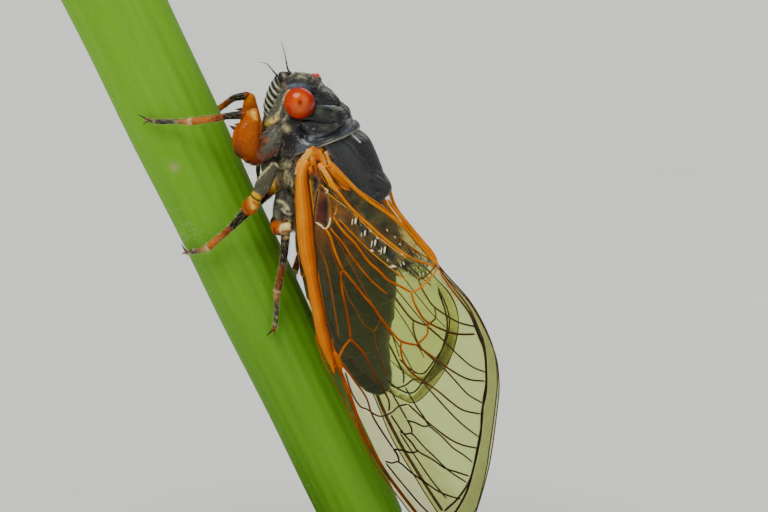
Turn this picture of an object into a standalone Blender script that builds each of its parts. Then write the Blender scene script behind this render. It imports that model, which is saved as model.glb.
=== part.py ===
"""A periodical cicada, life size, gripping a cut stem that stands on a plain display stand.

Scene units are metres with +Z up. The animal is modelled in body coordinates in millimetres:
x towards the head, y towards its left side, z towards its back.
"""

import math

import bmesh
import bpy
from mathutils import Matrix, Vector
from mathutils.geometry import delaunay_2d_cdt

MM = 0.001
GAP = 0.3  # between a part and the one it grows from

# Pose of the body over the stand
BODY_AT = Vector((4.0, 0.0, 40.0))
BODY_TURN = tuple(math.radians(v) for v in (-12.84, -70.91, -176.35))

# Perch and stand
PERCH_TOP = Vector((24.0, 0.0, -13.45))
PERCH_FOOT = Vector((-31.6, 0.0, -7.65))
PERCH_RADII = (4.33, 3.55)
BASE_RADIUS = 20.5
BASE_HEIGHT = 4.0
ROD_RADIUS = 2.0

# Head and eyes
EYE_AT = Vector((7.62, 3.72, 0.45))
EYE_RADII = Vector((1.38, 1.32, 1.36))

# Wings
WING_THICK = 0.5
RIDGE_HEIGHT = 0.16
RIDGE_HALF_WIDTH = 0.3
HIND_OFFSET = 0.85  # hind wing inside the fore wing

# The side view that wing outlines and veins are laid out in: 11.2 units to a millimetre at
# the body's mid plane, x to the right and y down, seen from EYE
EYE = Vector((18.33, 174.93, 39.12))
SIGHT_RIGHT = Vector((-0.3265, -0.1475, 0.9336))
SIGHT_UP = Vector((0.9339, -0.2026, 0.2946))
SIGHT_BACK = SIGHT_RIGHT.cross(SIGHT_UP)

# Closed-wing surface: x, lower edge z, upper edge z, side distance at each edge
WING_STATIONS = (
    (4.0, -0.6, 1.6, 4.7, 4.65),
    (0.0, -2.5, 2.0, 5.4, 4.75),
    (-5.0, -3.8, 4.1, 5.7, 3.2),
    (-10.0, -4.6, 6.6, 5.7, 1.35),
    (-17.0, -4.4, 9.0, 5.4, 1.25),
    (-23.0, -3.8, 8.4, 4.9, 1.15),
    (-29.0, -2.4, 5.2, 4.0, 1.2),
    (-36.5, -0.6, 0.6, 2.6, 2.3),
)

FORE_OUTLINE = (
    (314, 153), (304, 165), (296, 175), (294, 186), (294.5, 204), (296, 225), (299, 246),
    (303, 275), (308, 303), (315, 335), (324, 362), (339, 391), (358.5, 431), (376, 466),
    (399, 498), (424, 530), (438, 544), (450, 549), (460, 543), (469, 528), (476, 512),
    (489, 466), (497, 411), (499, 380), (493.5, 349), (472, 306), (447, 278), (434, 263),
    (414, 240), (392, 214), (366, 195), (342, 178), (333, 165), (326, 155),
)  # fmt: skip

FORE_VEINS = {
    "costal_band": ((309, 168), (310, 187), (313, 212), (313, 240), (318, 275), (331, 341), (337, 360)),
    "leading": ((337, 360), (352, 402), (371, 448), (392, 481), (415, 511), (434, 534)),
    "cell_top": ((320, 194), (316, 208), (314, 223), (325, 228)),
    "cell_side": ((321, 188), (331, 204), (331, 214), (325, 228)),
    "media": ((325, 228), (335, 253), (343, 270)),
    "media_front": ((343, 270), (342, 289), (349, 324), (351, 340), (376, 377), (389, 401), (389, 412)),
    "media_rear": ((343, 270), (364, 296), (381, 319), (401, 341), (416, 345)),
    "node_bridge": ((351, 340), (338, 358)),
    "sector": ((340, 362), (355, 380), (366, 397), (376, 422), (393, 448)),
    "sector_loop": ((345, 372), (352, 393), (367, 409), (383, 416), (392, 412), (408, 404)),
    "cubitus": ((331, 214), (347, 235), (369, 262), (388, 280), (411, 292)),
    "cubitus_rear": ((411, 292), (423, 285), (434, 274)),
    "cubitus_front": ((411, 292), (418, 310), (427, 322), (444, 330), (474, 334)),
    "cross_mc": ((427, 322), (427, 333), (416, 345)),
    "anal": ((326, 176), (339, 190), (359, 214), (386, 236), (409, 254), (430, 264)),
    "apical_1": ((416, 345), (436, 359), (460, 375), (485, 381)),
    "apical_2": ((401, 341), (403, 362), (426, 383), (450, 401), (481, 414)),
    "apical_3": ((408, 404), (421, 416), (450, 439), (478, 448)),
    "apical_4": ((391, 415), (404, 434), (418, 451), (445, 468), (470, 477)),
    "apical_5": ((393, 448), (403, 450), (418, 451)),
    "apical_6": ((385, 461), (399, 463), (412, 473), (438, 491), (462, 499)),
    "apical_7": ((387, 464), (397, 477), (418, 502), (436, 520)),
    "ambient": ((448, 288), (460, 302), (477, 331), (486, 366), (482, 411), (478, 448),
                (466, 493), (451, 518), (436, 534)),
}  # fmt: skip

HIND_OUTLINE = (
    (316, 208), (311, 216), (309, 226), (311, 240), (320, 265), (326, 289), (332, 324),
    (337, 342), (352, 364), (376, 386), (399, 401), (414, 405), (430, 391), (445, 370),
    (455, 342), (457, 318), (450, 298), (436, 282), (415, 262), (390, 238), (366, 218),
    (346, 203), (330, 200),
)  # fmt: skip

HIND_VEINS = {
    "costa": ((316, 222), (324, 250), (332, 289), (338, 322), (345, 342)),
    "radius": ((318, 220), (345, 296), (362, 326), (376, 350), (388, 380)),
    "media": ((322, 216), (352, 272), (379, 321), (400, 352), (414, 378)),
    "cubitus": ((328, 212), (362, 250), (392, 288), (420, 322), (440, 340)),
    "anal": ((334, 209), (370, 238), (402, 264), (430, 288)),
    "ambient": ((437, 296), (445, 318), (442, 344), (428, 372), (410, 392), (390, 384)),
}

# Legs of the left side: joint points from body to claw, and half widths there
LEGS = {
    "front": {
        "coxa": (((5.75, 3.4, -3.3), (5.1, 3.8, -4.0), (4.5, 4.2, -4.85)), (0.68, 0.7, 0.55)),
        "femur": (((4.3, 4.9, -5.35), (5.3, 5.3, -5.3), (6.5, 5.45, -4.85), (7.4, 5.45, -4.05),
                   (7.95, 5.42, -3.5)), (0.58, 1.0, 1.08, 0.72, 0.4)),
        "tibia": (((8.5, 5.35, -4.5), (8.62, 5.35, -5.5), (8.8, 5.25, -6.9), (9.18, 5.05, -8.95)),
                  (0.36, 0.32, 0.3, 0.32)),
        "tarsus": (((9.27, 4.98, -9.35), (9.7, 4.95, -10.5), (10.0, 4.85, -11.6), (10.4, 4.7, -12.5)),
                   (0.27, 0.27, 0.26, 0.2)),
        "claws": ((10.75, 4.4, -13.35), (0.5, 0.2, 0.0)),
        "spines": ((1.2, 0.1, -1.15), (0.95, 0.1, -1.0)),
    },
    "front_right": {
        "coxa": (((5.75, 3.4, -3.3), (5.1, 3.8, -4.0), (4.5, 4.2, -4.85)), (0.68, 0.7, 0.55)),
        "femur": (((4.35, 4.85, -5.4), (5.4, 5.15, -6.05), (6.6, 5.3, -6.4), (7.9, 5.35, -6.1),
                   (8.9, 5.3, -5.8)), (0.6, 1.05, 1.05, 0.78, 0.42)),
        "tibia": (((9.4, 5.2, -6.2), (9.4, 5.15, -7.2), (9.1, 5.1, -8.3), (8.78, 5.0, -9.4)),
                  (0.36, 0.32, 0.3, 0.32)),
        "tarsus": (((8.67, 4.95, -9.8), (8.5, 4.9, -11.0), (8.4, 4.75, -12.1), (8.3, 4.6, -12.9)),
                   (0.27, 0.27, 0.26, 0.2)),
        "claws": ((8.2, 4.3, -13.75), (0.5, 0.1, 0.0)),
        "spines": ((0.55, 0.1, -1.55), (0.5, 0.1, -1.3)),
    },
    "mid": {
        "coxa": (((3.3, 2.8, -4.35), (3.15, 3.5, -4.15), (3.05, 4.1, -3.75)), (0.7, 0.72, 0.6)),
        "femur": (((2.68, 4.85, -3.95), (1.95, 5.0, -4.75), (1.2, 5.1, -5.6), (0.65, 5.1, -6.3)),
                  (0.62, 0.74, 0.62, 0.68)),
        "tibia": (((0.15, 5.1, -7.0), (-0.55, 5.0, -8.4), (-1.15, 4.95, -9.8), (-1.85, 4.75, -11.45)),
                  (0.45, 0.32, 0.3, 0.33)),
        "tarsus": (((-1.98, 4.55, -11.9), (-1.92, 4.2, -12.75), (-1.8, 3.8, -13.4), (-1.85, 3.2, -13.95)),
                   (0.27, 0.27, 0.26, 0.2)),
        "claws": ((-1.5, 2.35, -14.55), (0.45, 0.1, 0.2)),
    },
    "hind": {
        "coxa": (((0.3, 3.3, -4.15), (-0.5, 3.6, -4.4), (-1.25, 3.75, -4.7)), (0.62, 0.65, 0.5)),
        "femur": (((-1.75, 3.95, -5.1), (-2.1, 4.4, -4.95), (-2.3, 4.8, -4.55), (-2.35, 5.0, -4.15)),
                  (0.5, 0.62, 0.55, 0.48)),
        "tibia": (((-3.1, 5.05, -4.45), (-4.8, 4.75, -5.3), (-6.4, 4.35, -6.3), (-7.4, 4.0, -6.98)),
                  (0.38, 0.32, 0.3, 0.33)),
        "tarsus": (((-7.75, 3.95, -7.2), (-8.8, 4.0, -7.6), (-9.7, 4.1, -7.95), (-10.5, 4.25, -8.35)),
                   (0.27, 0.27, 0.26, 0.2)),
        "claws": ((-11.1, 4.35, -8.95), (0.0, 0.35, 0.45)),
    },
}  # fmt: skip

FEELERS = {
    "left": ((9.95, 2.1, -0.8), (10.5, 2.2, -1.0), (11.1, 2.3, -1.2), (11.7, 2.4, -1.45), (12.05, 2.5, -1.95)),
    "right": ((9.95, -2.1, -0.8), (10.55, -2.2, -0.85), (11.3, -2.25, -0.75), (12.1, -2.3, -0.65), (12.95, -2.3, -0.6)),
}  # fmt: skip


def material(name, colour, roughness, metallic=0.0):
    found = bpy.data.materials.get(name)
    if found:
        return found
    made = bpy.data.materials.new(name)
    made.use_nodes = True
    shader = made.node_tree.nodes["Principled BSDF"]
    shader.inputs["Base Color"].default_value = (*colour, 1.0)
    shader.inputs["Roughness"].default_value = roughness
    shader.inputs["Metallic"].default_value = metallic
    return made


def solid(name, shape, look, origin=Vector(), parent=None):
    """One named object from a closed bmesh in millimetres, with its origin at a body point."""
    bmesh.ops.recalc_face_normals(shape, faces=shape.faces)
    bmesh.ops.translate(shape, verts=shape.verts, vec=-Vector(origin))
    bmesh.ops.scale(shape, verts=shape.verts, vec=(MM, MM, MM))
    mesh = bpy.data.meshes.new(name)
    shape.to_mesh(mesh)
    shape.free()
    mesh.shade_smooth()
    mesh.set_sharp_from_angle(angle=math.radians(40))
    mesh.materials.append(look)
    obj = bpy.data.objects.new(name, mesh)
    bpy.context.scene.collection.objects.link(obj)
    obj.location = Vector(origin) * MM
    obj.parent = parent
    return obj


def largest(shape):
    """Keeps the closed surface with the most faces."""
    left, best = set(shape.faces), []
    while left:
        todo, found = [left.pop()], []
        while todo:
            face = todo.pop()
            found.append(face)
            for edge in face.edges:
                for other in edge.link_faces:
                    if other in left:
                        left.remove(other)
                        todo.append(other)
        best = max(best, found, key=len)
    kept = set(best)
    bmesh.ops.delete(shape, geom=[f for f in shape.faces if f not in kept], context="FACES")


def combined(shapes, operation="UNION"):
    """One bmesh from closed bmeshes by a Boolean on a collection: the first one with the rest."""
    parts = bpy.data.collections.new("pieces")
    bpy.context.scene.collection.children.link(parts)
    objects = []
    for index, shape in enumerate(shapes):
        bmesh.ops.recalc_face_normals(shape, faces=shape.faces)
        mesh = bpy.data.meshes.new("piece")
        shape.to_mesh(mesh)
        shape.free()
        obj = bpy.data.objects.new("piece", mesh)
        (parts if index else bpy.context.scene.collection).objects.link(obj)
        objects.append(obj)
    boolean = objects[0].modifiers.new("join", "BOOLEAN")
    boolean.operation = operation
    boolean.operand_type = "COLLECTION"
    boolean.collection = parts
    boolean.solver = "EXACT"
    graph = bpy.context.evaluated_depsgraph_get()
    result = bmesh.new()
    result.from_mesh(objects[0].evaluated_get(graph).to_mesh())
    for obj in objects:
        bpy.data.objects.remove(obj)
    bpy.data.collections.remove(parts)
    bmesh.ops.remove_doubles(result, verts=result.verts, dist=0.002)
    largest(result)
    return result


def smooth(points, steps):
    """Catmull-Rom curve through the points, with steps spans between each two."""
    points = [Vector(p) for p in points]
    ends = [points[0] * 2 - points[1], *points, points[-1] * 2 - points[-2]]
    curve = []
    for a, b, c, d in zip(ends, ends[1:], ends[2:], ends[3:]):
        for step in range(steps):
            t = step / steps
            curve.append(
                b + (c - a) * (t / 2) + (a * 2 - b * 5 + c * 4 - d) * (t * t / 2)
                + (b * 3 - a - c * 3 + d) * (t ** 3 / 2)
            )  # fmt: skip
    return [*curve, points[-1]]


def tube(points, radii, sides=8, flat=1.0, ends=True):
    """Closed tapering tube along the points, narrowed across its second axis by flat."""
    points = [Vector(p) for p in points]
    radii = list(radii)
    if ends:  # round both ends with one more, smaller ring
        head, tail = (points[0] - points[1]).normalized(), (points[-1] - points[-2]).normalized()
        first, last = radii[0], radii[-1]
        points = [points[0], points[0] - head * first * 0.4, *points[1:-1], points[-1] - tail * last * 0.4, points[-1]]
        radii = [first * 0.6, first * 0.95, *radii[1:-1], last * 0.95, last * 0.6]
    shape = bmesh.new()
    rings = []
    side = (points[1] - points[0]).orthogonal().normalized()
    for index, (point, radius) in enumerate(zip(points, radii)):
        before, after = points[max(index - 1, 0)], points[min(index + 1, len(points) - 1)]
        along = (after - before).normalized()
        side = (side - along * side.dot(along)).normalized()
        across = along.cross(side)
        rings.append([
            shape.verts.new(point + (side * math.cos(a) + across * math.sin(a) * flat) * radius)
            for a in (math.tau * k / sides for k in range(sides))
        ])  # fmt: skip
    skin(shape, rings)
    return shape


def skin(shape, rings):
    """Quads between neighbouring rings and a face over each end."""
    count = len(rings[0])
    for low, high in zip(rings, rings[1:]):
        for k in range(count):
            n = (k + 1) % count
            shape.faces.new((low[k], low[n], high[n], high[k]))
    shape.faces.new(rings[0][::-1])
    shape.faces.new(rings[-1])


def trunk(stations, sides=24):
    """Body section: each station is x, tilt of its plane, middle z, height up, height down, half width.

    A tilted plane leans forward more and more towards the back.
    """
    shape = bmesh.new()
    rings = []
    for x, tilt, middle, up, down, wide in stations:
        ring = []
        for k in range(sides):
            angle = math.tau * k / sides
            lift = math.sin(angle)
            z = middle + lift * (up if lift > 0 else down)
            lean = tilt * (z + 0.2 * max(z, 0) ** 2)
            ring.append(shape.verts.new((x + lean, wide * math.cos(angle), z)))
        rings.append(ring)
    skin(shape, rings)
    for cap in [face for face in shape.faces if len(face.verts) > 4]:
        bmesh.ops.poke(shape, faces=[cap])
    return shape


def ball(centre, radii, turn=0.0, segments=16, rings=10):
    """Ellipsoid with its axes along the body's, turned about the cross axis by turn degrees."""
    shape = bmesh.new()
    bmesh.ops.create_uvsphere(shape, u_segments=segments, v_segments=rings, radius=1.0)
    place = Matrix.Translation(centre) @ Matrix.Rotation(math.radians(turn), 4, "Y")
    place = place @ Matrix.Diagonal((*radii, 1.0))
    bmesh.ops.transform(shape, matrix=place, verts=shape.verts)
    return shape


def mirror_shape(shape):
    """The same shape on the right side."""
    other = shape.copy()
    bmesh.ops.scale(other, verts=other.verts, vec=(1, -1, 1))
    bmesh.ops.reverse_faces(other, faces=other.faces)
    return other


def station_values(x):
    """Edge heights and side distances of the closed wing at x, smoothly between the stations."""
    rows = WING_STATIONS
    x = max(min(x, rows[0][0]), rows[-1][0])
    last = len(rows) - 1
    i = next(k for k in range(last) if rows[k + 1][0] <= x)
    span = rows[i][0] - rows[i + 1][0]
    t = (rows[i][0] - x) / span

    def slope(k, column):
        a, b = rows[max(k - 1, 0)], rows[min(k + 1, last)]
        return (b[column] - a[column]) / (a[0] - b[0]) * span

    return [
        (2 * t**3 - 3 * t**2 + 1) * rows[i][c]
        + (t**3 - 2 * t**2 + t) * slope(i, c)
        + (3 * t**2 - 2 * t**3) * rows[i + 1][c]
        + (t**3 - t**2) * slope(i + 1, c)
        for c in (1, 2, 3, 4)
    ]


def wing_side(x, z):
    """Distance of the fore wing's middle surface from the body's mid plane."""
    low, high, low_side, high_side = station_values(x)
    t = min(max((z - low) / (high - low), 0.0), 1.1)
    return low_side + (high_side - low_side) * t**1.5


def on_wing(x, y):
    """Body x and z of the wing point that the side view shows at (x, y)."""
    ray = SIGHT_RIGHT * (x - 384) + SIGHT_UP * (256 - y) - SIGHT_BACK * (11.2 * 180)
    side = 4.0
    for _ in range(12):
        point = EYE + ray * ((side - EYE.y) / ray.y)
        side += (wing_side(point.x, point.z) - side) * 0.7
    return Vector((point.x, point.z))


def resampled(points, spacing):
    """Points along a polyline at about equal spacing, ends kept."""
    lengths = [0.0]
    for a, b in zip(points, points[1:]):
        lengths.append(lengths[-1] + (b - a).length)
    count = max(int(round(lengths[-1] / spacing)), 1)
    result, i = [], 0
    for k in range(count + 1):
        goal = lengths[-1] * k / count
        while i < len(points) - 2 and lengths[i + 1] < goal:
            i += 1
        t = (goal - lengths[i]) / (lengths[i + 1] - lengths[i])
        result.append(points[i].lerp(points[i + 1], t))
    return result


def near_line(point, line):
    """Distance of a point from a polyline."""
    best = 1e9
    for a, b in zip(line, line[1:]):
        along = b - a
        t = min(max((point - a).dot(along) / along.length_squared, 0.0), 1.0)
        best = min(best, (point - a - along * t).length)
    return best


def inside(point, outline):
    """True if a plane point lies within a closed outline."""
    odd = False
    for a, b in zip(outline, [*outline[1:], outline[0]]):
        if (a.y > point.y) != (b.y > point.y):
            odd ^= point.x < a.x + (point.y - a.y) / (b.y - a.y) * (b.x - a.x)
    return odd


def wing(outline, veins, inset, spacing):
    """Closed wing blade of the left side: both faces split alike, with the veins as ridges."""
    edge = smooth([on_wing(*p) for p in (*outline, outline[0])], 6)
    edge = resampled(edge, spacing)[:-1]
    closed = [*edge, edge[0]]
    lines = []
    for points in veins.values():
        line = resampled(smooth([on_wing(*p) for p in points], 5), spacing)
        lines.append([p for p in line if inside(p, edge) and near_line(p, closed) > 0.42])
    lines = [line for line in lines if len(line) > 1]
    points, links = list(edge), [(k, (k + 1) % len(edge)) for k in range(len(edge))]

    def free(point, room):
        return min((point - other).length for other in points) > room

    for line in lines:
        before = None
        for p in line:
            near = [k for k in range(len(edge), len(points)) if (points[k] - p).length < 0.3]
            here = near[0] if near else len(points)
            if not near:
                points.append(p)
            if before is not None and here != before:
                links.append((before, here))
            before = here
    sides = []
    for line in lines:
        for a, b, c in zip(line, line[1:], [*line[2:], line[-1]]):
            across = Vector((a.y - c.y, c.x - a.x)).normalized() * RIDGE_HALF_WIDTH
            sides += [b + across, b - across]
    for p in sides:
        if min(near_line(p, line) for line in lines) > RIDGE_HALF_WIDTH * 0.8 and free(p, 0.27):
            if inside(p, edge) and near_line(p, closed) > 0.3:
                points.append(p)
    across = int(50 / 2.2)
    for i in range(across):
        for k in range(across):
            p = Vector((-38 + i * 2.2 + (k % 2) * 1.1, -8 + k * 1.9))
            if inside(p, edge) and near_line(p, closed) > 0.8 and free(p, 1.1):
                points.append(p)
    flat, _, faces, *_ = delaunay_2d_cdt(points, links, [], 1, 0.001)
    faces = [f for f in faces if inside(sum((flat[k] for k in f), Vector((0, 0))) / 3, edge)]
    used = sorted({k for f in faces for k in f})
    shape = bmesh.new()
    outer, inner = {}, {}
    for k in used:
        x, z = flat[k]
        normal = Vector((
            (wing_side(x - 0.1, z) - wing_side(x + 0.1, z)) / 0.2, 1.0,
            (wing_side(x, z - 0.1) - wing_side(x, z + 0.1)) / 0.2,
        )).normalized()  # fmt: skip
        side = wing_side(x, z) - inset / normal.y
        ridge = max(1 - min(near_line(flat[k], line) for line in lines) / RIDGE_HALF_WIDTH, 0.0)
        outer[k] = shape.verts.new(Vector((x, side, z)) + normal * (WING_THICK / 2 + RIDGE_HEIGHT * ridge))
        inner[k] = shape.verts.new(Vector((x, side, z)) - normal * (WING_THICK / 2))
    rim = {}
    for a, b, c in faces:
        shape.faces.new((outer[a], outer[b], outer[c]))
        shape.faces.new((inner[c], inner[b], inner[a]))
        for link in ((a, b), (b, c), (c, a)):
            rim[link] = True
    for a, b in rim:
        if (b, a) not in rim:
            shape.faces.new((outer[b], outer[a], inner[a]))
            shape.faces.new((outer[b], inner[a], inner[b]))
    return shape


def tuck(shape):
    """Lower a wing's upper margin a little, so that the right pair lies below the left one's."""
    for vert in shape.verts:
        low, high, _, _ = station_values(vert.co.x)
        t = min(max(((vert.co.z - low) / (high - low) - 0.6) / 0.4, 0.0), 1.0)
        drop = 0.18 + 0.4 * math.exp(-(((vert.co.x + 4.6) / 2.6) ** 2))
        blade = min(max((vert.co.x + 34) / 6, 0.0), 1.0)
        vert.co.z -= drop * blade * t * t * (3 - 2 * t)


def build_perch_and_stand(body):
    """The cut stem in body coordinates, and the base and rod that hold it."""
    bark = material("bark_green", (0.16, 0.33, 0.07), 0.55)
    board = material("stand_grey", (0.20, 0.20, 0.21), 0.45)
    turn = body.matrix_world.to_3x3()
    top = BODY_AT + turn @ PERCH_TOP
    foot = BODY_AT + turn @ PERCH_FOOT
    steps = 8
    line = [foot.lerp(top, k / steps) for k in range(steps + 1)]
    radii = [
        PERCH_RADII[1] + (PERCH_RADII[0] - PERCH_RADII[1]) * k / steps + 0.05 * math.sin(k * 2.4)
        for k in range(steps + 1)
    ]
    solid("perch_stem", tube(line, radii, 28, ends=False), bark, foot)

    base = bmesh.new()
    bmesh.ops.create_cone(base, cap_ends=True, segments=64, radius1=BASE_RADIUS, radius2=BASE_RADIUS, depth=BASE_HEIGHT)
    bmesh.ops.translate(base, verts=base.verts, vec=(0, 0, BASE_HEIGHT / 2))
    plate = solid("stand_base", base, board)
    bevel = plate.modifiers.new("edge", "BEVEL")
    bevel.width = 0.5 * MM
    bevel.segments = 2
    bevel.limit_method = "ANGLE"

    along = (top - foot).normalized()
    high = foot - along * GAP
    level = BASE_HEIGHT + GAP
    low = high - along * ((high.z - level) / along.z)
    rod = bmesh.new()
    rings = []
    side = along.cross(Vector((0, 1, 0))).normalized()
    across = along.cross(side)
    for end, flat in ((low, True), (high, False)):
        ring = []
        for k in range(24):
            angle = math.tau * k / 24
            p = end + (side * math.cos(angle) + across * math.sin(angle)) * ROD_RADIUS
            if flat:
                p -= along * ((p.z - level) / along.z)
            ring.append(rod.verts.new(p))
        rings.append(ring)
    skin(rod, rings)
    solid("stand_rod", rod, material("stand_rod_grey", (0.30, 0.30, 0.31), 0.35), low)


def build_body(body):
    black = material("shell_black", (0.022, 0.022, 0.026), 0.42)
    eye = material("eye_red", (0.72, 0.13, 0.04), 0.18)
    horn = material("feeler_black", (0.03, 0.027, 0.025), 0.5)

    face = trunk(
        (
            (7.15, 0.42, -0.85, 2.85, 2.9, 3.4),
            (7.8, 0.36, -0.85, 3.0, 2.8, 3.35),
            (8.6, 0.2, -0.8, 2.75, 2.4, 3.0),
            (9.4, 0.1, -0.85, 2.1, 1.8, 2.3),
            (9.95, 0.05, -0.95, 1.4, 1.15, 1.6),
        )
    )
    clypeus = ball((8.45, 0, -1.6), (1.75, 1.65, 1.75), 25)
    sockets = [
        ball(Vector((EYE_AT.x, EYE_AT.y * s, EYE_AT.z)), EYE_RADII + Vector((GAP,) * 3), 0, 20, 12)
        for s in (1, -1)
    ]
    head = combined([face, clypeus])
    head = combined([head, *[s.copy() for s in sockets]], "DIFFERENCE")
    solid("head", head, black, (8.0, 0, -0.5), body)
    prothorax = trunk(
        (
            (3.75, 0.0, -0.2, 4.15, 3.7, 4.75),
            (4.3, 0.02, -0.2, 4.1, 3.65, 4.7),
            (5.0, 0.12, -0.25, 3.65, 3.5, 4.3),
            (5.9, 0.28, -0.4, 3.15, 3.3, 4.2),
            (6.75, 0.42, -0.8, 3.0, 2.9, 3.9),
        )
    )
    prothorax = combined([prothorax, *sockets], "DIFFERENCE")
    solid("pronotum", prothorax, black, (5.0, 0, 0), body)
    thorax = trunk(
        (
            (3.45, 0, -0.3, 3.95, 3.8, 4.2),
            (2.4, 0, -0.3, 4.75, 4.0, 4.3),
            (0.6, 0, -0.3, 4.95, 4.3, 4.2),
            (-1.2, 0, -0.3, 5.0, 4.35, 3.6),
            (-2.4, 0, -0.4, 5.1, 4.2, 3.3),
            (-3.1, 0, -0.8, 4.7, 3.9, 3.1),
        )
    )
    solid("mesothorax", thorax, black, (0, 0, 0), body)
    abdomen = trunk(
        (
            (-3.4, 0, -1.1, 4.8, 3.6, 3.1),
            (-5.5, 0, -1.4, 5.4, 3.7, 3.2),
            (-8.5, 0, -1.75, 5.0, 3.75, 3.2),
            (-11.5, 0, -2.0, 4.1, 3.55, 3.3),
            (-13.5, 0, -2.1, 3.3, 3.3, 3.15),
            (-15.5, 0, -2.2, 2.3, 2.7, 2.6),
            (-17.6, 0, -2.2, 1.7, 2.0, 1.9),
            (-19.2, 0, -2.1, 1.2, 1.4, 1.1),
            (-19.95, 0, -2.1, 0.5, 0.6, 0.5),
        )
    )
    solid("abdomen", abdomen, black, (-3.4, 0, -1.1), body)
    beak = smooth(((6.9, 0, -4.3), (5.6, 0, -4.9), (3.6, 0, -5.75), (1.9, 0, -6.35)), 2)
    solid("rostrum", tube(beak, [0.36] + [0.3] * (len(beak) - 2) + [0.18]), horn, beak[0], body)
    for side, word in ((1, "left"), (-1, "right")):
        centre = Vector((EYE_AT.x, EYE_AT.y * side, EYE_AT.z))
        solid(f"eye_{word}", ball(centre, EYE_RADII, 0, 20, 12), eye, centre, body)
        feeler = smooth(FEELERS[word], 2)
        widths = [0.34 - 0.22 * (k / (len(feeler) - 1)) ** 0.7 for k in range(len(feeler))]
        solid(f"antenna_{word}", tube(feeler, widths, 7), horn, feeler[0], body)


def build_legs(body):
    looks = {
        "coxa": material("leg_dark", (0.06, 0.03, 0.018), 0.4),
        "femur": material("leg_amber", (0.42, 0.17, 0.03), 0.38),
        "tibia": material("leg_amber", (0.42, 0.17, 0.03), 0.38),
        "tarsus": material("leg_amber", (0.42, 0.17, 0.03), 0.38),
    }
    for leg in ("front", "mid", "hind"):
        for word in ("left", "right"):
            parts = LEGS.get(f"{leg}_{word}", LEGS[leg])
            for segment in ("coxa", "femur", "tibia", "tarsus"):
                points, radii = parts[segment]
                points = [Vector(p) for p in points]
                swollen = leg == "front" and segment == "femur"
                pieces = [tube(points, radii, 10, 0.8 if swollen else 1.0)]
                if segment == "tarsus":
                    tip, spread = (Vector(p) for p in parts["claws"])
                    for way in (1, -1):
                        bend = points[-1].lerp(tip, 0.35) + spread * way * 0.3
                        claw = (points[-1].lerp(points[-2], 0.3), bend, tip + spread * way)
                        pieces.append(tube(claw, (0.2, 0.16, 0.05), 6))
                if swollen:
                    for root, reach in zip(points[2:], parts["spines"]):
                        tip = root + Vector(reach)
                        pieces.append(tube((root, root.lerp(tip, 0.6), tip), (0.42, 0.28, 0.06), 6, ends=False))
                shape = combined(pieces) if len(pieces) > 1 else pieces[0]
                origin = points[0]
                if word == "right":
                    shape = mirror_shape(shape)
                    origin = Vector((origin.x, -origin.y, origin.z))
                solid(f"{leg}_{word}_{segment}", shape, looks[segment], origin, body)


def build_wings(body):
    amber = material("wing_fore", (0.78, 0.33, 0.05), 0.3)
    pale = material("wing_hind", (0.62, 0.50, 0.20), 0.35)
    for kind, look, outline, veins, inset, root, spacing in (
        ("forewing", amber, FORE_OUTLINE, FORE_VEINS, 0.0, Vector((3.0, 4.8, 0.4)), 1.25),
        ("hindwing", pale, HIND_OUTLINE, HIND_VEINS, HIND_OFFSET, Vector((-1.5, 4.3, 0.2)), 1.6),
    ):
        left = wing(outline, veins, inset, spacing)
        right = mirror_shape(left)
        tuck(right)
        solid(f"{kind}_left", left, look, root, body)
        solid(f"{kind}_right", right, look, Vector((root.x, -root.y, root.z)), body)


def main():
    for obj in list(bpy.data.objects):
        bpy.data.objects.remove(obj)
    body = bpy.data.objects.new("cicada", None)
    bpy.context.scene.collection.objects.link(body)
    body.location = BODY_AT * MM
    body.rotation_euler = BODY_TURN
    bpy.context.view_layer.update()
    build_perch_and_stand(body)
    build_body(body)
    build_legs(body)
    build_wings(body)


main()
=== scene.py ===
"""Looks of the periodical cicada on its cut stem.

Shapes are laid out in body coordinates in millimetres (x towards the head, y towards the left side,
z towards the back) and turned into the frame at the end. Markings and veins are laid out in the
side view of the left side, in 768 x 512 units, and mirrored to the right side.
"""

import math

import bmesh
import bpy
import numpy as np
from mathutils import Euler, Matrix, Vector
from mathutils.geometry import delaunay_2d_cdt


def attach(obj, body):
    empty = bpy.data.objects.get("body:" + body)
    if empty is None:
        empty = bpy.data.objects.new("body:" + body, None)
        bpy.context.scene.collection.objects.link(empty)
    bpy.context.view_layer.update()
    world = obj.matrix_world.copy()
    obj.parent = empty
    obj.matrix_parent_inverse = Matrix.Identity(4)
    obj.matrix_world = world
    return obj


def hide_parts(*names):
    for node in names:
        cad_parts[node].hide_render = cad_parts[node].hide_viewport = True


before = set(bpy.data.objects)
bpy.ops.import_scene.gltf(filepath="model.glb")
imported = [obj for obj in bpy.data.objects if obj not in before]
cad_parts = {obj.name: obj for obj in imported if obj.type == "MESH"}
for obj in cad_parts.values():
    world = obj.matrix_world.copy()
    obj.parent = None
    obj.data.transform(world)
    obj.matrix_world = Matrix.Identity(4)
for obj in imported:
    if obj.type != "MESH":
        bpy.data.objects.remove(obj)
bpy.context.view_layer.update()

MM = 0.001
RNG = np.random.default_rng(17)

SIDES = ("left", "right")
SEGMENTS = ("coxa", "femur", "tibia", "tarsus")

# Pose of the body over the stand
BODY_AT = np.array((4.0, 0.0, 40.0))
BODY_TURN = np.array(Euler([math.radians(v) for v in (-12.84, -70.91, -176.35)]).to_matrix())

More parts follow.
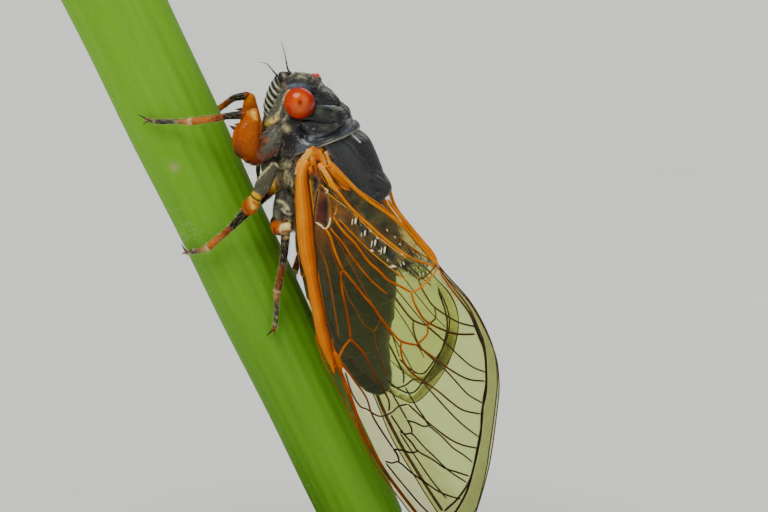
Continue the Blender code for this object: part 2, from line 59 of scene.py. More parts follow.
# Perch and stand
PERCH_TOP = np.array((24.0, 0.0, -13.45))
PERCH_FOOT = np.array((-31.6, 0.0, -7.65))
PERCH_RADII = (4.33, 3.55)
STEM_TOP, STEM_FOOT = (end @ BODY_TURN.T + BODY_AT for end in (PERCH_TOP, PERCH_FOOT))
BASE_RADIUS, BASE_HEIGHT, ROD_RADIUS = 20.5, 4.0, 2.0
FOOT_ROUND, TOP_ROUND = 0.5, 0.6
SHARP_ANGLE = math.radians(50)

EYE_AT = np.array((7.62, 3.72, 0.45))
EYE_RADII = np.array((1.38, 1.32, 1.36))
FAR_EYE_SHIFT = (-0.03, 0.12, -0.22)
HIND_OFFSET = 0.85

# Side view: 11.2 units to a millimetre at the mid plane, seen from 180 mm away
UNITS_PER_MM = 11.2
VIEW_X, VIEW_Y = 384, 256
SIGHT_FROM = np.array((18.33, 174.93, 39.12))
SIGHT_RIGHT = np.array((-0.3265, -0.1475, 0.9336))
SIGHT_UP = np.array((0.9339, -0.2026, 0.2946))
SIGHT_BACK = np.cross(SIGHT_RIGHT, SIGHT_UP)
SIGHT_SCALE = UNITS_PER_MM * 180

# Closed-wing surface: x, lower edge z, upper edge z, side distance at each edge
WING_STATIONS = np.array((
    (4.0, -0.6, 1.6, 4.7, 4.65),
    (0.0, -2.5, 2.0, 5.4, 4.75),
    (-5.0, -3.8, 4.1, 5.7, 3.2),
    (-10.0, -4.6, 6.6, 5.7, 1.35),
    (-17.0, -4.4, 9.0, 5.4, 1.25),
    (-23.0, -3.8, 8.4, 4.9, 1.15),
    (-29.0, -2.4, 5.2, 4.0, 1.2),
    (-36.5, -0.6, 0.6, 2.6, 2.3),
))

FORE_OUTLINE = (
    (314, 153), (304, 165), (296, 175), (294, 186), (294.5, 204), (296, 225), (299, 246),
    (303, 275), (308, 303), (315, 335), (324, 362), (339, 391), (358.5, 431), (376, 466),
    (399, 498), (424, 530), (438, 544), (450, 549), (460, 543), (469, 528), (476, 512),
    (489, 466), (497, 411), (499, 380), (493.5, 349), (472, 306), (447, 278), (434, 263),
    (414, 240), (392, 214), (366, 195), (342, 178), (333, 165), (326, 155),
)

# Veins of the fore wing: half width at each end in mm, how dark each end is, points
FORE_VEINS = {
    "costa_inner": (0.1, 0.1, 0.1, 0.3, ((310, 180), (313, 212), (313, 240), (318, 275), (324, 310),
        (331, 341), (337, 357))),
    "leading": (0.22, 0.17, 0.42, 0.7, ((336, 361), (345, 383), (352, 402), (361, 428), (371, 448),
        (380, 463), (392, 481), (415, 511), (434, 534))),
    "cell_front": (0.06, 0.07, 0.8, 0.5, ((317.8, 190), (314.9, 207), (313.5, 218), (315, 223.5),
        (318.5, 223.6))),
    "cell_end": (0.09, 0.11, -0.25, -0.25, ((317, 223.3), (320.5, 225.3), (324, 228.6),
        (327.3, 227.4), (329.6, 222.9), (330.4, 217))),
    "cell_side": (0.06, 0.08, 0.45, 0.1, ((329, 196), (330.6, 203), (330.4, 213), (330.2, 218))),
    "cell_knot": (0.05, 0.09, 0.3, -0.2, ((336.4, 205), (336.2, 210.5), (334.6, 214.9))),
    "media": (0.13, 0.13, 0.1, 0.3, ((325, 228), (330, 236), (335, 252), (343, 270))),
    "media_front": (0.11, 0.11, 0.3, 0.45, ((343, 270), (341, 275), (342, 289), (345, 304),
        (349, 324), (350.5, 339))),
    "media_front_far": (0.12, 0.1, 0.4, 0.85, ((350.5, 339), (363, 352), (368.6, 363), (376, 377),
        (384, 391), (389, 401), (389, 411))),
    "media_rear": (0.12, 0.12, 0.3, 0.4, ((343, 270), (354, 283), (364, 296), (373, 306),
        (381, 318), (391, 331), (401, 341), (416, 345))),
    "node_bridge": (0.12, 0.14, 0.3, 0.2, ((350.5, 339), (344, 347), (339, 357), (335, 368))),
    "sector": (0.1, 0.1, 0.4, 0.9, ((341, 361), (354, 380), (366, 397), (371, 412), (376, 422),
        (385, 436), (393, 448))),
    "sector_loop": (0.08, 0.09, 0.6, 0.95, ((345, 372), (347, 378), (352, 393), (360, 406),
        (367, 409), (376, 415), (383, 416), (392, 412), (399, 406), (408, 404))),
    "beta": (0.07, 0.07, 0.2, 0.35, ((330, 228), (335, 234), (342, 242), (350, 254), (356, 262),
        (363, 271), (372, 281), (381, 289), (387, 294))),
    "cubitus": (0.11, 0.12, 0.15, 0.3, ((333, 216.5), (340, 227), (347, 235), (354, 242),
        (360, 250), (369, 262), (379, 271), (388, 280), (398, 285), (411, 292))),
    "cubitus_rear": (0.11, 0.09, 0.1, 0.1, ((411, 292), (417, 290), (423, 285), (430, 278),
        (435, 272), (438, 267))),
    "cubitus_front": (0.11, 0.11, 0.35, 0.9, ((411, 292), (414, 302), (418, 310), (426, 321),
        (444, 330), (458, 334), (475, 334))),
    "gamma_a": (0.06, 0.05, 0.1, 0.1, ((339, 219), (353, 234), (368, 249), (382, 261), (392, 269),
        (406, 280))),
    "gamma_b": (0.05, 0.05, -0.1, 0.0, ((321, 184.5), (324.5, 188.5), (327.3, 192.5),
        (333.6, 197.6), (341.7, 203.4), (349.7, 210.3), (362, 222), (376, 235), (390, 246),
        (404, 256), (418, 263))),
    "cross_mc": (0.09, 0.08, 0.4, 0.3, ((427, 322), (427.5, 333), (422, 340), (416, 345))),
    "anal_a": (0.18, 0.1, 0.05, 0.15, ((324.5, 174), (328.5, 180.5), (337, 190.5), (346.7, 203),
        (358, 215), (368.4, 224), (381, 235.5), (394, 246), (406.7, 255), (419.4, 261),
        (434.7, 266))),
    "anal_shade": (0.05, 0.04, 0.8, 0.6, ((324, 184), (331, 193.5), (340, 201.5), (350.5, 211),
        (364, 224.5))),
    "apical_1": (0.1, 0.09, 0.5, 1.0, ((416, 345), (436, 359), (451, 370), (468, 379), (485, 381))),
    "apical_2": (0.1, 0.09, 0.45, 1.0, ((401, 342), (401, 352), (404, 362), (411, 372), (426, 383),
        (438, 391), (450, 401), (463, 410), (481, 414))),
    "apical_3": (0.095, 0.09, 0.8, 1.0, ((408, 404), (421, 416), (435, 428), (450, 439), (463, 445),
        (477, 448))),
    "apical_4": (0.09, 0.09, 0.9, 1.0, ((391, 415), (397, 424), (404, 434), (412, 443), (418, 451),
        (432, 459), (445, 468), (457, 472), (469, 476))),
    "apical_5": (0.11, 0.1, 1.0, 1.0, ((393, 449), (402, 450), (411, 452.5), (418, 451))),
    "apical_6": (0.1, 0.07, 1.0, 1.0, ((385, 461), (392, 463), (399, 462), (412, 473), (425, 482),
        (438, 491), (450, 496), (461, 499))),
    "apical_6w": (0.11, 0.11, 1.0, 1.0, ((399, 462), (398, 456), (393, 448))),
    "apical_7": (0.09, 0.08, 0.9, 1.0, ((386, 463), (397, 477), (407, 489), (418, 502), (429, 513),
        (438, 521))),
    "ambient_near": (0.09, 0.13, 0.3, 0.95, ((440, 272), (450, 287), (460, 300), (470, 314),
        (477, 331))),
    "ambient": (0.13, 0.13, 0.95, 1.0, ((476, 328), (479, 336), (484, 349), (486, 366), (486, 391),
        (482, 411), (481, 431), (478, 448), (474, 466), (466, 493), (451, 518), (436, 534))),
}

AMBIENT = FORE_VEINS["ambient_near"][4][:-1] + FORE_VEINS["ambient"][4]

HIND_OUTLINE = (
    (316, 208), (311, 216), (309, 226), (311, 240), (320, 265), (326, 289), (332, 324),
    (337, 342), (352, 364), (376, 386), (399, 401), (414, 405), (430, 391), (445, 370),
    (455, 342), (457, 318), (450, 298), (436, 282), (415, 262), (390, 238), (366, 218),
    (346, 203), (330, 200),
)

HIND_VEINS = {
    "costa": (0.14, 0.09, 0.0, 0.2, ((313, 222), (314, 240), (324, 265), (329, 289), (332, 306),
        (335, 324), (337, 338))),
    "radius": (0.1, 0.06, 0.1, 0.5, ((318, 220), (332, 258), (345, 296), (353, 310), (362, 326),
        (372, 334), (374, 347), (380, 363), (386, 381))),
    "radius_arm": (0.06, 0.06, 0.2, 0.3, ((372, 334), (376, 328), (379, 321))),
    "media": (0.09, 0.05, 0.1, 0.6, ((322, 216), (337, 244), (352, 272), (366, 298), (379, 321),
        (400, 352), (414, 378))),
    "cubitus": (0.09, 0.05, 0.1, 0.6, ((328, 212), (345, 230), (362, 250), (392, 288), (420, 322),
        (440, 340))),
    "anal": (0.08, 0.05, 0.1, 0.5, ((334, 209), (352, 223), (370, 238), (402, 264), (430, 288))),
    "ambient": (0.1, 0.09, 0.75, 1.0, ((437, 293), (444, 313), (446, 327), (444, 341), (439, 356),
        (432, 369), (425, 379), (412, 395), (398, 392), (386, 383))),
}

# Legs of the left side: joint points from body to claw, and half widths there
LEGS = {
    "front": {
        "coxa": (((5.6, 3.0, -2.6), (4.95, 3.6, -3.55), (4.4, 4.2, -4.75)), (0.95, 1.0, 0.78)),
        "femur": (((4.62, 4.85, -5.15), (5.52, 5.25, -5.04), (6.62, 5.4, -4.54), (7.5, 5.4, -3.75),
                   (8.08, 5.4, -3.3)), (0.56, 1.06, 1.16, 0.78, 0.52)),
        "tibia": (((8.3, 5.38, -4.15), (8.62, 5.35, -5.5), (8.8, 5.25, -6.9), (9.18, 5.05, -8.95)),
                  (0.38, 0.31, 0.29, 0.33)),
        "tarsus": (((9.24, 5.0, -9.2), (9.7, 4.95, -10.5), (10.0, 4.85, -11.6), (10.4, 4.7, -12.5)),
                   (0.24, 0.22, 0.23, 0.18)),
        "claws": ((10.75, 4.4, -13.35), (0.5, 0.2, 0.0)),
        "spines": ((1.2, 0.1, -1.15), (0.95, 0.1, -1.0)),
    },
    "front_right": {
        "coxa": (((5.75, 3.0, -2.9), (5.1, 3.6, -3.9), (4.5, 4.2, -4.85)), (0.75, 0.72, 0.6)),
        "femur": (((4.35, 4.85, -5.4), (5.4, 5.15, -6.05), (6.55, 5.3, -6.52), (7.88, 5.35, -6.2),
                   (8.9, 5.3, -5.8)), (0.62, 1.05, 1.05, 0.8, 0.5)),
        "tibia": (((9.25, 5.2, -6.0), (9.4, 5.15, -7.2), (9.1, 5.1, -8.3), (8.78, 5.0, -9.4)),
                  (0.38, 0.31, 0.29, 0.33)),
        "tarsus": (((8.72, 4.98, -9.65), (8.5, 4.9, -11.0), (8.4, 4.75, -12.1), (8.3, 4.6, -12.9)),
                   (0.24, 0.22, 0.23, 0.18)),
        "claws": ((8.2, 4.3, -13.75), (0.5, 0.1, 0.0)),
        "spines": ((0.55, 0.1, -1.55), (0.5, 0.1, -1.3)),
    },
    "mid": {
        "coxa": (((3.3, 2.6, -4.0), (3.15, 3.4, -4.1), (3.05, 4.1, -3.75)), (0.75, 0.74, 0.62)),
        "femur": (((2.85, 4.65, -3.8), (1.95, 5.0, -4.75), (1.25, 5.1, -5.55), (0.62, 5.1, -6.35)),
                  (0.6, 0.7, 0.5, 0.7)),
        "tibia": (((0.35, 5.1, -6.7), (-0.55, 5.0, -8.4), (-1.15, 4.95, -9.8),
            (-1.85, 4.75, -11.45)),
                  (0.5, 0.31, 0.3, 0.34)),
        "tarsus": (((-1.9, 4.65, -11.75), (-1.92, 4.2, -12.75), (-1.8, 3.8, -13.4),
            (-1.85, 3.2, -13.95)),
                   (0.25, 0.23, 0.22, 0.18)),
        "claws": ((-1.5, 2.35, -14.55), (0.45, 0.1, 0.2)),
    },
    "hind": {
        "coxa": (((0.3, 3.0, -3.9), (-0.5, 3.5, -4.3), (-1.35, 3.78, -4.8)), (0.68, 0.68, 0.52)),
        "femur": (((-1.6, 3.9, -5.05), (-2.1, 4.4, -4.95), (-2.3, 4.8, -4.55), (-2.35, 5.0, -4.15)),
                  (0.52, 0.62, 0.55, 0.5)),
        "tibia": (((-2.8, 5.05, -4.35), (-4.8, 4.75, -5.3), (-6.4, 4.35, -6.3), (-7.4, 4.0, -6.98)),
                  (0.42, 0.31, 0.29, 0.33)),
        "tarsus": (((-7.65, 3.97, -7.15), (-8.8, 4.0, -7.6), (-9.7, 4.1, -7.95),
            (-10.5, 4.25, -8.35)),
                   (0.25, 0.23, 0.22, 0.18)),
        "claws": ((-11.1, 4.35, -8.95), (0.0, 0.35, 0.45)),
    },
}

FEELERS = {
    "left": ((9.6, 1.9, -0.75), (9.95, 2.1, -0.8), (10.5, 2.2, -1.0), (11.1, 2.3, -1.2),
        (11.7, 2.4, -1.45), (12.05, 2.5, -1.95)),
    "right": ((9.6, -1.9, -0.75), (9.95, -2.1, -0.8), (10.55, -2.2, -0.85), (11.3, -2.25, -0.75),
        (12.1, -2.3, -0.65), (12.95, -2.3, -0.6)),
}

# Colours
BLACK = (0.007, 0.0075, 0.009)
SOOT = (0.02, 0.02, 0.021)
ASH = (0.15, 0.14, 0.11)
CREAM = (0.66, 0.55, 0.28)
YELLOW = (0.76, 0.45, 0.01)
AMBER = (0.6, 0.145, 0.0)
HONEY = (0.8, 0.29, 0.0)
RUST = (0.32, 0.05, 0.0)
UMBER = (0.085, 0.03, 0.008)
PITCH = (0.014, 0.01, 0.006)

# Camera in mm, floor and light in metres
CAMERA_AT = (8.732, -179.316, 57.08)
CAMERA_TILT, CAMERA_LENS, CAMERA_SENSOR = 82.4, 94.5, 36.0
FLOOR_HALF = 14.0
SKY_STRENGTH = 0.45
LIGHT_AIM = Vector((0.004, 0.0, 0.035))

# Counts
POINTS_PER_HAIR = 10
HAIR_BEND = 0.35
CAP_RINGS = 34
STEM_HAIRS = 420
BRISTLES = 700

# Marks on the legs in side view, painted highlights and shade among them: line, width, colour
LEG_MARKS = {
    "front": (
        # Painted shade: the thigh darker along its lower edge
        (((235, 143), (240, 153), (250, 161), (259, 161)), 6.5, (0.3, 0.055, 0.0)),
        (((236, 150), (242, 158), (252, 162)), 3.6, (0.17, 0.028, 0.0)),
        # Painted shade along the thigh's right rim
        (((257.5, 104), (259.5, 122), (259, 138), (256, 150)), 1.6, (0.3, 0.045, 0.0)),
        # Painted shade along the thigh's lower edge
        (((236, 153), (241, 158.5), (248, 162.5), (257, 163)), 1.8, (0.05, 0.012, 0.0)),
        (((255, 154), (259, 148), (265, 140)), 4.0, (0.38, 0.08, 0.0)),
        (((257, 161.5), (267, 157), (280, 150)), 3.2, (0.17, 0.018, 0.0)),
        # Painted highlight on the coxa
        (((264, 149), (271, 141), (279, 131)), 2.4, (0.095, 0.105, 0.055)),
        # Painted highlight at the knee
        (((253.5, 113), (255, 119)), 2.4, (0.95, 0.52, 0.05)),
        (((246, 98), (251, 106)), 3.0, (0.6, 0.17, 0.05)),
        # Painted shade along the thigh's left rim
        (((240, 122), (237, 133), (235, 146)), 1.2, (0.3, 0.045, 0.0)),
        (((243, 95), (247, 99)), 2.5, (0.55, 0.22, 0.05)),
    ),
    "mid": (
        (((272, 163.5), (263, 173), (255.5, 181)), 1.0, (0.62, 0.56, 0.26)),
        (((275, 163), (279, 167), (283, 169.5)), 1.2, (0.84, 0.76, 0.5)),
        (((284, 164), (288, 166)), 2.4, (0.5, 0.45, 0.24)),
        (((279.7, 174.6), (277.4, 184.6)), 1.2, (0.48, 0.48, 0.38)),
        (((286.2, 170.8), (283.6, 183.8), (281, 190.5)), 1.3, (0.8, 0.68, 0.38)),
        # Painted highlight at the knee
        (((252.5, 198), (254, 208)), 3.0, (0.95, 0.6, 0.08)),
        # Painted shade along the knee's rims
        (((246, 198), (244.5, 206), (248, 213)), 1.3, (0.3, 0.05, 0.0)),
        (((262, 197), (261, 206), (256, 213)), 1.8, (0.34, 0.06, 0.0)),
    ),
    "hind": (
        (((278.2, 200.3), (283.6, 203), (288.1, 209.8)), 1.7, (0.86, 0.8, 0.42)),
        (((279.7, 206), (285, 212), (291, 214.4)), 1.1, (0.82, 0.74, 0.4)),
        (((283, 207), (287, 212), (291, 219)), 0.8, (0.55, 0.5, 0.3)),
        (((279, 210), (286, 216), (292, 216.5)), 1.0, (0.01, 0.01, 0.008)),
        (((275, 213), (279, 219)), 2.6, (0.15, 0.14, 0.09)),
        (((280, 193), (279, 198)), 1.8, (0.16, 0.15, 0.11)),
        (((274, 228), (275, 236)), 1.6, (0.22, 0.03, 0.0)),
        (((285.5, 223), (290, 226)), 3.4, (0.84, 0.68, 0.28)),
        (((291, 216), (292.5, 221), (292, 228)), 1.6, (0.03, 0.025, 0.02)),
        (((281, 231.5), (290, 231.5)), 2.0, (0.36, 0.13, 0.02)),
        (((280, 235.8), (291, 235.8)), 3.4, (0.035, 0.02, 0.012)),
    ),
}


# Curves and grids


def unit(v):
    """A vector, or each row of an array, at length 1."""
    return v / (np.linalg.norm(v, axis=1)[:, None] if v.ndim > 1 else np.linalg.norm(v))


def circle(sides):
    return np.linspace(0, math.tau, sides, endpoint=False)


def bell(value, centre, width):
    """1 where the value is at the centre, falling off within about width of it."""
    return np.exp(-(((value - centre) / width) ** 2))


def smooth(points, steps):
    """Catmull-Rom curve through the points, with steps spans between each two."""
    p = np.asarray(points, float)
    ends = np.vstack([2 * p[0] - p[1], p, 2 * p[-1] - p[-2]])
    t = np.arange(steps)[:, None] / steps
    rows = []
    for a, b, c, d in zip(ends, ends[1:], ends[2:], ends[3:]):
        rows.append(
            b + (c - a) * (t / 2) + (a * 2 - b * 5 + c * 4 - d) * (t * t / 2)
            + (b * 3 - a - c * 3 + d) * (t ** 3 / 2)
        )
    return np.vstack([*rows, p[-1:]])


def resampled(points, spacing):
    """Points along a polyline at about equal spacing, ends kept."""
    run = np.concatenate([[0], np.cumsum(np.linalg.norm(np.diff(points, axis=0), axis=1))])
    goal = np.linspace(0, run[-1], max(int(round(run[-1] / spacing)), 1) + 1)
    return np.stack([np.interp(goal, run, points[:, k]) for k in range(points.shape[1])], 1)


def grid_faces(rows, sides, closed=True):
    """Quads over a grid of rows by sides points."""
    i = np.arange(rows - 1)[:, None] * sides
    j = np.arange(sides if closed else sides - 1)[None, :]
    n = (j + 1) % sides
    return np.stack([i + j, i + n, i + sides + n, i + sides + j], -1).reshape(-1, 4)


def capped(grid):
    """Points and faces of a tube from its grid (rows, sides, 3), each end closed by a fan."""
    rows, sides = grid.shape[:2]
    points = np.vstack([grid.reshape(-1, 3), grid[0].mean(0), grid[-1].mean(0)])
    j = np.arange(sides)
    n = (j + 1) % sides
    foot, head = rows * sides, rows * sides + 1
    fans = np.vstack([
        np.stack([n, j, np.full(sides, foot)], 1),
        np.stack([j + (rows - 1) * sides, n + (rows - 1) * sides, np.full(sides, head)], 1),
    ])
    return points, [grid_faces(rows, sides), fans]


def frames_along(points):
    """Two unit directions across a path at each point, turned as little as possible."""
    along = unit(np.gradient(points, axis=0))
    side = np.cross(along[0], (0.3, 0.5, 0.8))
    sides = []
    for way in along:
        side = unit(side - way * side.dot(way))
        sides.append(side)
    sides = np.array(sides)
    return sides, np.cross(along, sides)


def tube_grid(points, radii, sides):
    side, across = frames_along(points)
    a = circle(sides)[:, None]
    ring = np.cos(a) * side[:, None] + np.sin(a) * across[:, None]
    return points[:, None] + ring * np.asarray(radii)[:, None, None]


def round_tube(points, radii, sides=12):
    """Grid of a tapering tube with round ends."""
    points, radii = np.asarray(points, float), np.asarray(radii, float)
    turn = np.radians((84, 60, 35, 12))
    first = points[0] + unit(points[0] - points[1]) * (np.sin(turn) * radii[0])[:, None]
    last = points[-1] + unit(points[-1] - points[-2]) * (np.sin(turn[::-1]) * radii[-1])[:, None]
    radii = np.concatenate([np.cos(turn) * radii[0], radii, np.cos(turn[::-1]) * radii[-1]])
    return tube_grid(np.vstack([first, points, last]), radii, sides)


def lofted(stations, rows, sides, square=1.0):
    """Grid over a body section: each station is x, tilt, middle z, height up, down, half width."""
    table = smooth(stations, 24)
    at = np.linspace(0, len(table) - 1, rows)
    x, tilt, middle, up, down, wide = (
        np.interp(at, np.arange(len(table)), column)[:, None] for column in table.T
    )
    angle = circle(sides)[None, :]
    lift, out = np.sin(angle), np.cos(angle)
    lift = np.sign(lift) * np.abs(lift) ** square
    out = np.sign(out) * np.abs(out) ** square
    z = middle + lift * np.where(lift > 0, up, down)
    lean = tilt * (z + 0.2 * np.maximum(z, 0) ** 2)
    return np.stack([x + lean, wide * out, z], -1)


def ball_points(centre, radii, turn=0.0, segments=32, rings=16):
    """Grid of an ellipsoid, turned about the cross axis by turn degrees."""
    polar = np.linspace(0.02, math.pi - 0.02, rings)[:, None]
    round_ = circle(segments)[None, :]
    unit = np.stack([
        np.sin(polar) * np.cos(round_), np.sin(polar) * np.sin(round_), np.cos(polar) + 0 * round_,
    ], -1) * np.asarray(radii)
    a = math.radians(turn)
    spin = np.array(((math.cos(a), 0, math.sin(a)), (0, 1, 0), (-math.sin(a), 0, math.cos(a))))
    return (unit @ spin.T + np.asarray(centre))[::-1]


def mirrored(points):
    return points * np.array((1, -1, 1))


def turned(faces):
    return [f[:, ::-1] for f in faces]


def sided(word, points, faces):
    """A shape of the left side, or its mirror image for the right side."""
    return (mirrored(points), turned(faces)) if word == "right" else (points, faces)


def all_normals(points, faces):
    """Unit normals at the points from lists of quads and triangles."""
    result = np.zeros_like(points)
    for part in faces:
        corners = [points[part[:, k]] for k in range(part.shape[1])]
        way = np.cross(corners[2] - corners[0], corners[-1] - corners[1])
        for k in range(part.shape[1]):
            np.add.at(result, part[:, k], way)
    return result / np.maximum(np.linalg.norm(result, axis=1), 1e-12)[:, None]


def outward(points, faces, away):
    """The faces turned to look along the away vectors, and the normals at the points."""
    normal = all_normals(points, faces)
    if (normal * away).sum() < 0:
        return turned(faces), -normal
    return faces, normal


def waves(points, size, seed, count=14):
    """Smooth seeded noise between about -1 and 1, with features of about size mm."""
    rng = np.random.default_rng(seed)
    way = rng.normal(size=(count, 3))
    way *= (math.tau / size) * rng.uniform(0.5, 1.3, count)[:, None] / np.linalg.norm(way,
        axis=1)[:, None] / 2
    return np.sin(points @ way.T + rng.uniform(0, math.tau,
        count)).sum(1) / math.sqrt(count / 2) / 2


def step(low, high, value):
    t = np.clip((value - low) / (high - low), 0, 1)
    return t * t * (3 - 2 * t)


def to_line(points, line):
    """Distance of each point from a polyline, in any number of dimensions, and how far along it."""
    line = np.asarray(line, float)
    best, where = np.full(len(points), 1e9), np.zeros(len(points))
    for k, (a, b) in enumerate(zip(line, line[1:])):
        way = b - a
        t = np.clip((points - a) @ way / way.dot(way), 0, 1)
        gap = np.linalg.norm(points - a - t[:, None] * way, axis=1)
        near = gap < best
        best[near], where[near] = gap[near], (k + t[near]) / (len(line) - 1)
    return best, where


def nearest(points, lines):
    """Distance of each point from the nearest of several polylines."""
    return np.minimum.reduce([to_line(points, line)[0] for line in lines])


def near_side(points):
    """The points, with those of the right side brought over to the left."""
    return np.stack([points[:, 0], np.abs(points[:, 1]), points[:, 2]], 1)


def sighted(points):
    """Side-view position of body points."""
    p = points - SIGHT_FROM
    depth = -(p @ SIGHT_BACK)
    right = VIEW_X + p @ SIGHT_RIGHT / depth * SIGHT_SCALE
    return np.stack([right, VIEW_Y - p @ SIGHT_UP / depth * SIGHT_SCALE], 1)


def side_view(points):
    """Side-view position of body points; the right side is seen as the left."""
    return sighted(near_side(points))


def stroke(view, line, width):
    """1 on a side-view line and falling off within about width units of it."""
    return bell(to_line(view, smooth(line, 4))[0], 0, width)


def plain(colour, points):
    return np.tile(colour, (len(points), 1))


def painted(tint, *layers):
    """The tint with colours laid over it in turn, each where its mask is 1."""
    for mask, colour in layers:
        tint = tint + (np.asarray(colour) - tint) * np.clip(mask, 0, 1)[:, None]
    return tint


# Closed-wing surface


def wing_edges(x):
    rows = WING_STATIONS
    x = np.clip(x, rows[-1, 0], rows[0, 0])
    last = len(rows) - 1
    i = np.clip(np.searchsorted(-rows[:, 0], -x, side="left") - 1, 0, last - 1)
    span = rows[i, 0] - rows[i + 1, 0]
    t = (rows[i, 0] - x) / span

    def slope(k, c):
        a, b = np.maximum(k - 1, 0), np.minimum(k + 1, last)
        return (rows[b, c] - rows[a, c]) / (rows[a, 0] - rows[b, 0]) * span

    return [
        (2 * t**3 - 3 * t**2 + 1) * rows[i, c] + (t**3 - 2 * t**2 + t) * slope(i, c)
        + (3 * t**2 - 2 * t**3) * rows[i + 1, c] + (t**3 - t**2) * slope(i + 1, c)
        for c in (1, 2, 3, 4)
    ]


def wing_side(x, z):
    low, high, low_side, high_side = wing_edges(x)
    t = np.clip((z - low) / (high - low), 0.0, 1.1)
    return low_side + (high_side - low_side) * t**1.5


def wing_plane(view):
    """Body x and z of the wing points seen at side-view positions."""
    view = np.asarray(view, float)
    ray = (
        SIGHT_RIGHT * (view[:, :1] - VIEW_X) + SIGHT_UP * (VIEW_Y - view[:, 1:])
        - SIGHT_BACK * SIGHT_SCALE
    )
    side = np.full(len(view), 4.0)
    for _ in range(12):
        point = SIGHT_FROM + ray * ((side - SIGHT_FROM[1]) / ray[:, 1])[:, None]
        side += (wing_side(point[:, 0], point[:, 2]) - side) * 0.7
    return point[:, (0, 2)]


def wing_point(plane, inset=0.0):
    """Points and outward normals of the left wing's surface."""
    x, z = plane[:, 0], plane[:, 1]
    normal = unit(np.stack([
        (wing_side(x - 0.1, z) - wing_side(x + 0.1, z)) / 0.2, np.ones(len(x)),
        (wing_side(x, z - 0.1) - wing_side(x, z + 0.1)) / 0.2,
    ], 1))
    return np.stack([x, wing_side(x, z) - inset / normal[:, 1], z], 1), normal


# Materials


def fresh(name):
    look = bpy.data.materials.new(name)
    look.use_nodes = True
    return look, look.node_tree, look.node_tree.nodes["Principled BSDF"]


def plug(tree, socket, value):
    """Links a node's input to an output, or gives it a value."""
    if isinstance(value, bpy.types.NodeSocket):
        tree.links.new(value, socket)
    else:
        socket.default_value = value


def add(tree, kind, inputs=None, **settings):
    node = tree.nodes.new("ShaderNode" + kind)
    for key, value in settings.items():
        setattr(node, key, value)
    for key, value in (inputs or {}).items():
        plug(tree, node.inputs[key], value)
    return node


def attribute(tree, name, output="Fac"):
    return add(tree, "Attribute", attribute_name=name).outputs[output]


def product(tree, first, second, **settings):
    return add(tree, "Math", {0: first, 1: second}, operation="MULTIPLY", **settings).outputs[0]


def ranged(tree, value, low, high, to_low, to_high):
    return add(tree, "MapRange", {0: value, 1: low, 2: high, 3: to_low, 4: to_high}).outputs[0]


def mixed(tree, factor, first, second):
    inputs = {0: factor, 6: first, 7: second}
    return add(tree, "Mix", inputs, data_type="RGBA", blend_type="MIX").outputs[2]


def noise(tree, where, size, detail=3.0, rough=0.55):
    """Noise with features of about size mm."""
    inputs = {"Vector": where, "Scale": 1.0 / (size * MM), "Detail": detail, "Roughness": rough}
    return add(tree, "TexNoise", inputs).outputs["Fac"]


def surface(name, rough, mottle=0.3, grain=0.3, bump=0.02, bump_size=0.12, coat=0.0,
            coat_rough=0.2, gloss=0.28, glow=0.0, dust=(0.55, 0.53, 0.46), where_name=None,
            facets=0.0):
    """Painted surface: tint broken up at two scales, patchy roughness, pale dust, fine relief."""
    look, tree, shader = fresh(name)
    if where_name:
        where = attribute(tree, where_name, "Vector")
    else:
        where = add(tree, "TexCoord").outputs["Object"]
    fine = noise(tree, where, grain, 5.0, 0.65)
    broad = noise(tree, where, grain * 4, 2.0)
    dark = ranged(tree, fine, 0.3, 0.7, 1.0 - mottle, 1.0 + mottle * 0.6)
    wide = ranged(tree, broad, 0.3, 0.7, 1.0 - mottle * 0.5, 1.0 + mottle * 0.4)
    shaded = {0: attribute(tree, "tint", "Color"), "Scale": product(tree, dark, wide)}
    colour = add(tree, "VectorMath", shaded, operation="SCALE").outputs[0]
    speck = ranged(tree, noise(tree, where, 0.045, 2.0, 0.5), 0.5, 0.72, 0.0, 1.0)
    speck = product(tree, speck, attribute(tree, "dust"), use_clamp=True)
    height = noise(tree, where, bump_size, 4.0, 0.6)
    if facets:
        cells = {"Vector": where, "Scale": 1.0 / (facets * MM), "Randomness": 0.35}
        height = product(tree, add(tree, "TexVoronoi", cells).outputs["Distance"], -1.0)
    relief = add(tree, "Bump", {"Strength": 1.0, "Distance": bump * MM, "Height": height})
    values = {
        "Base Color": mixed(tree, speck, colour, (*dust, 1.0)),
        "Roughness": ranged(tree, fine, 0.25, 0.75, *rough),
        "Normal": relief.outputs[0],
        "Specular IOR Level": gloss,
    }
    if coat:
        values |= {"Coat Weight": coat, "Coat Roughness": coat_rough}
    if glow:
        values |= {"Subsurface Weight": glow, "Subsurface Radius": (1.0, 0.45, 0.15),
                   "Subsurface Scale": 0.5 * MM}
    for key, value in values.items():
        plug(tree, shader.inputs[key], value)
    return look


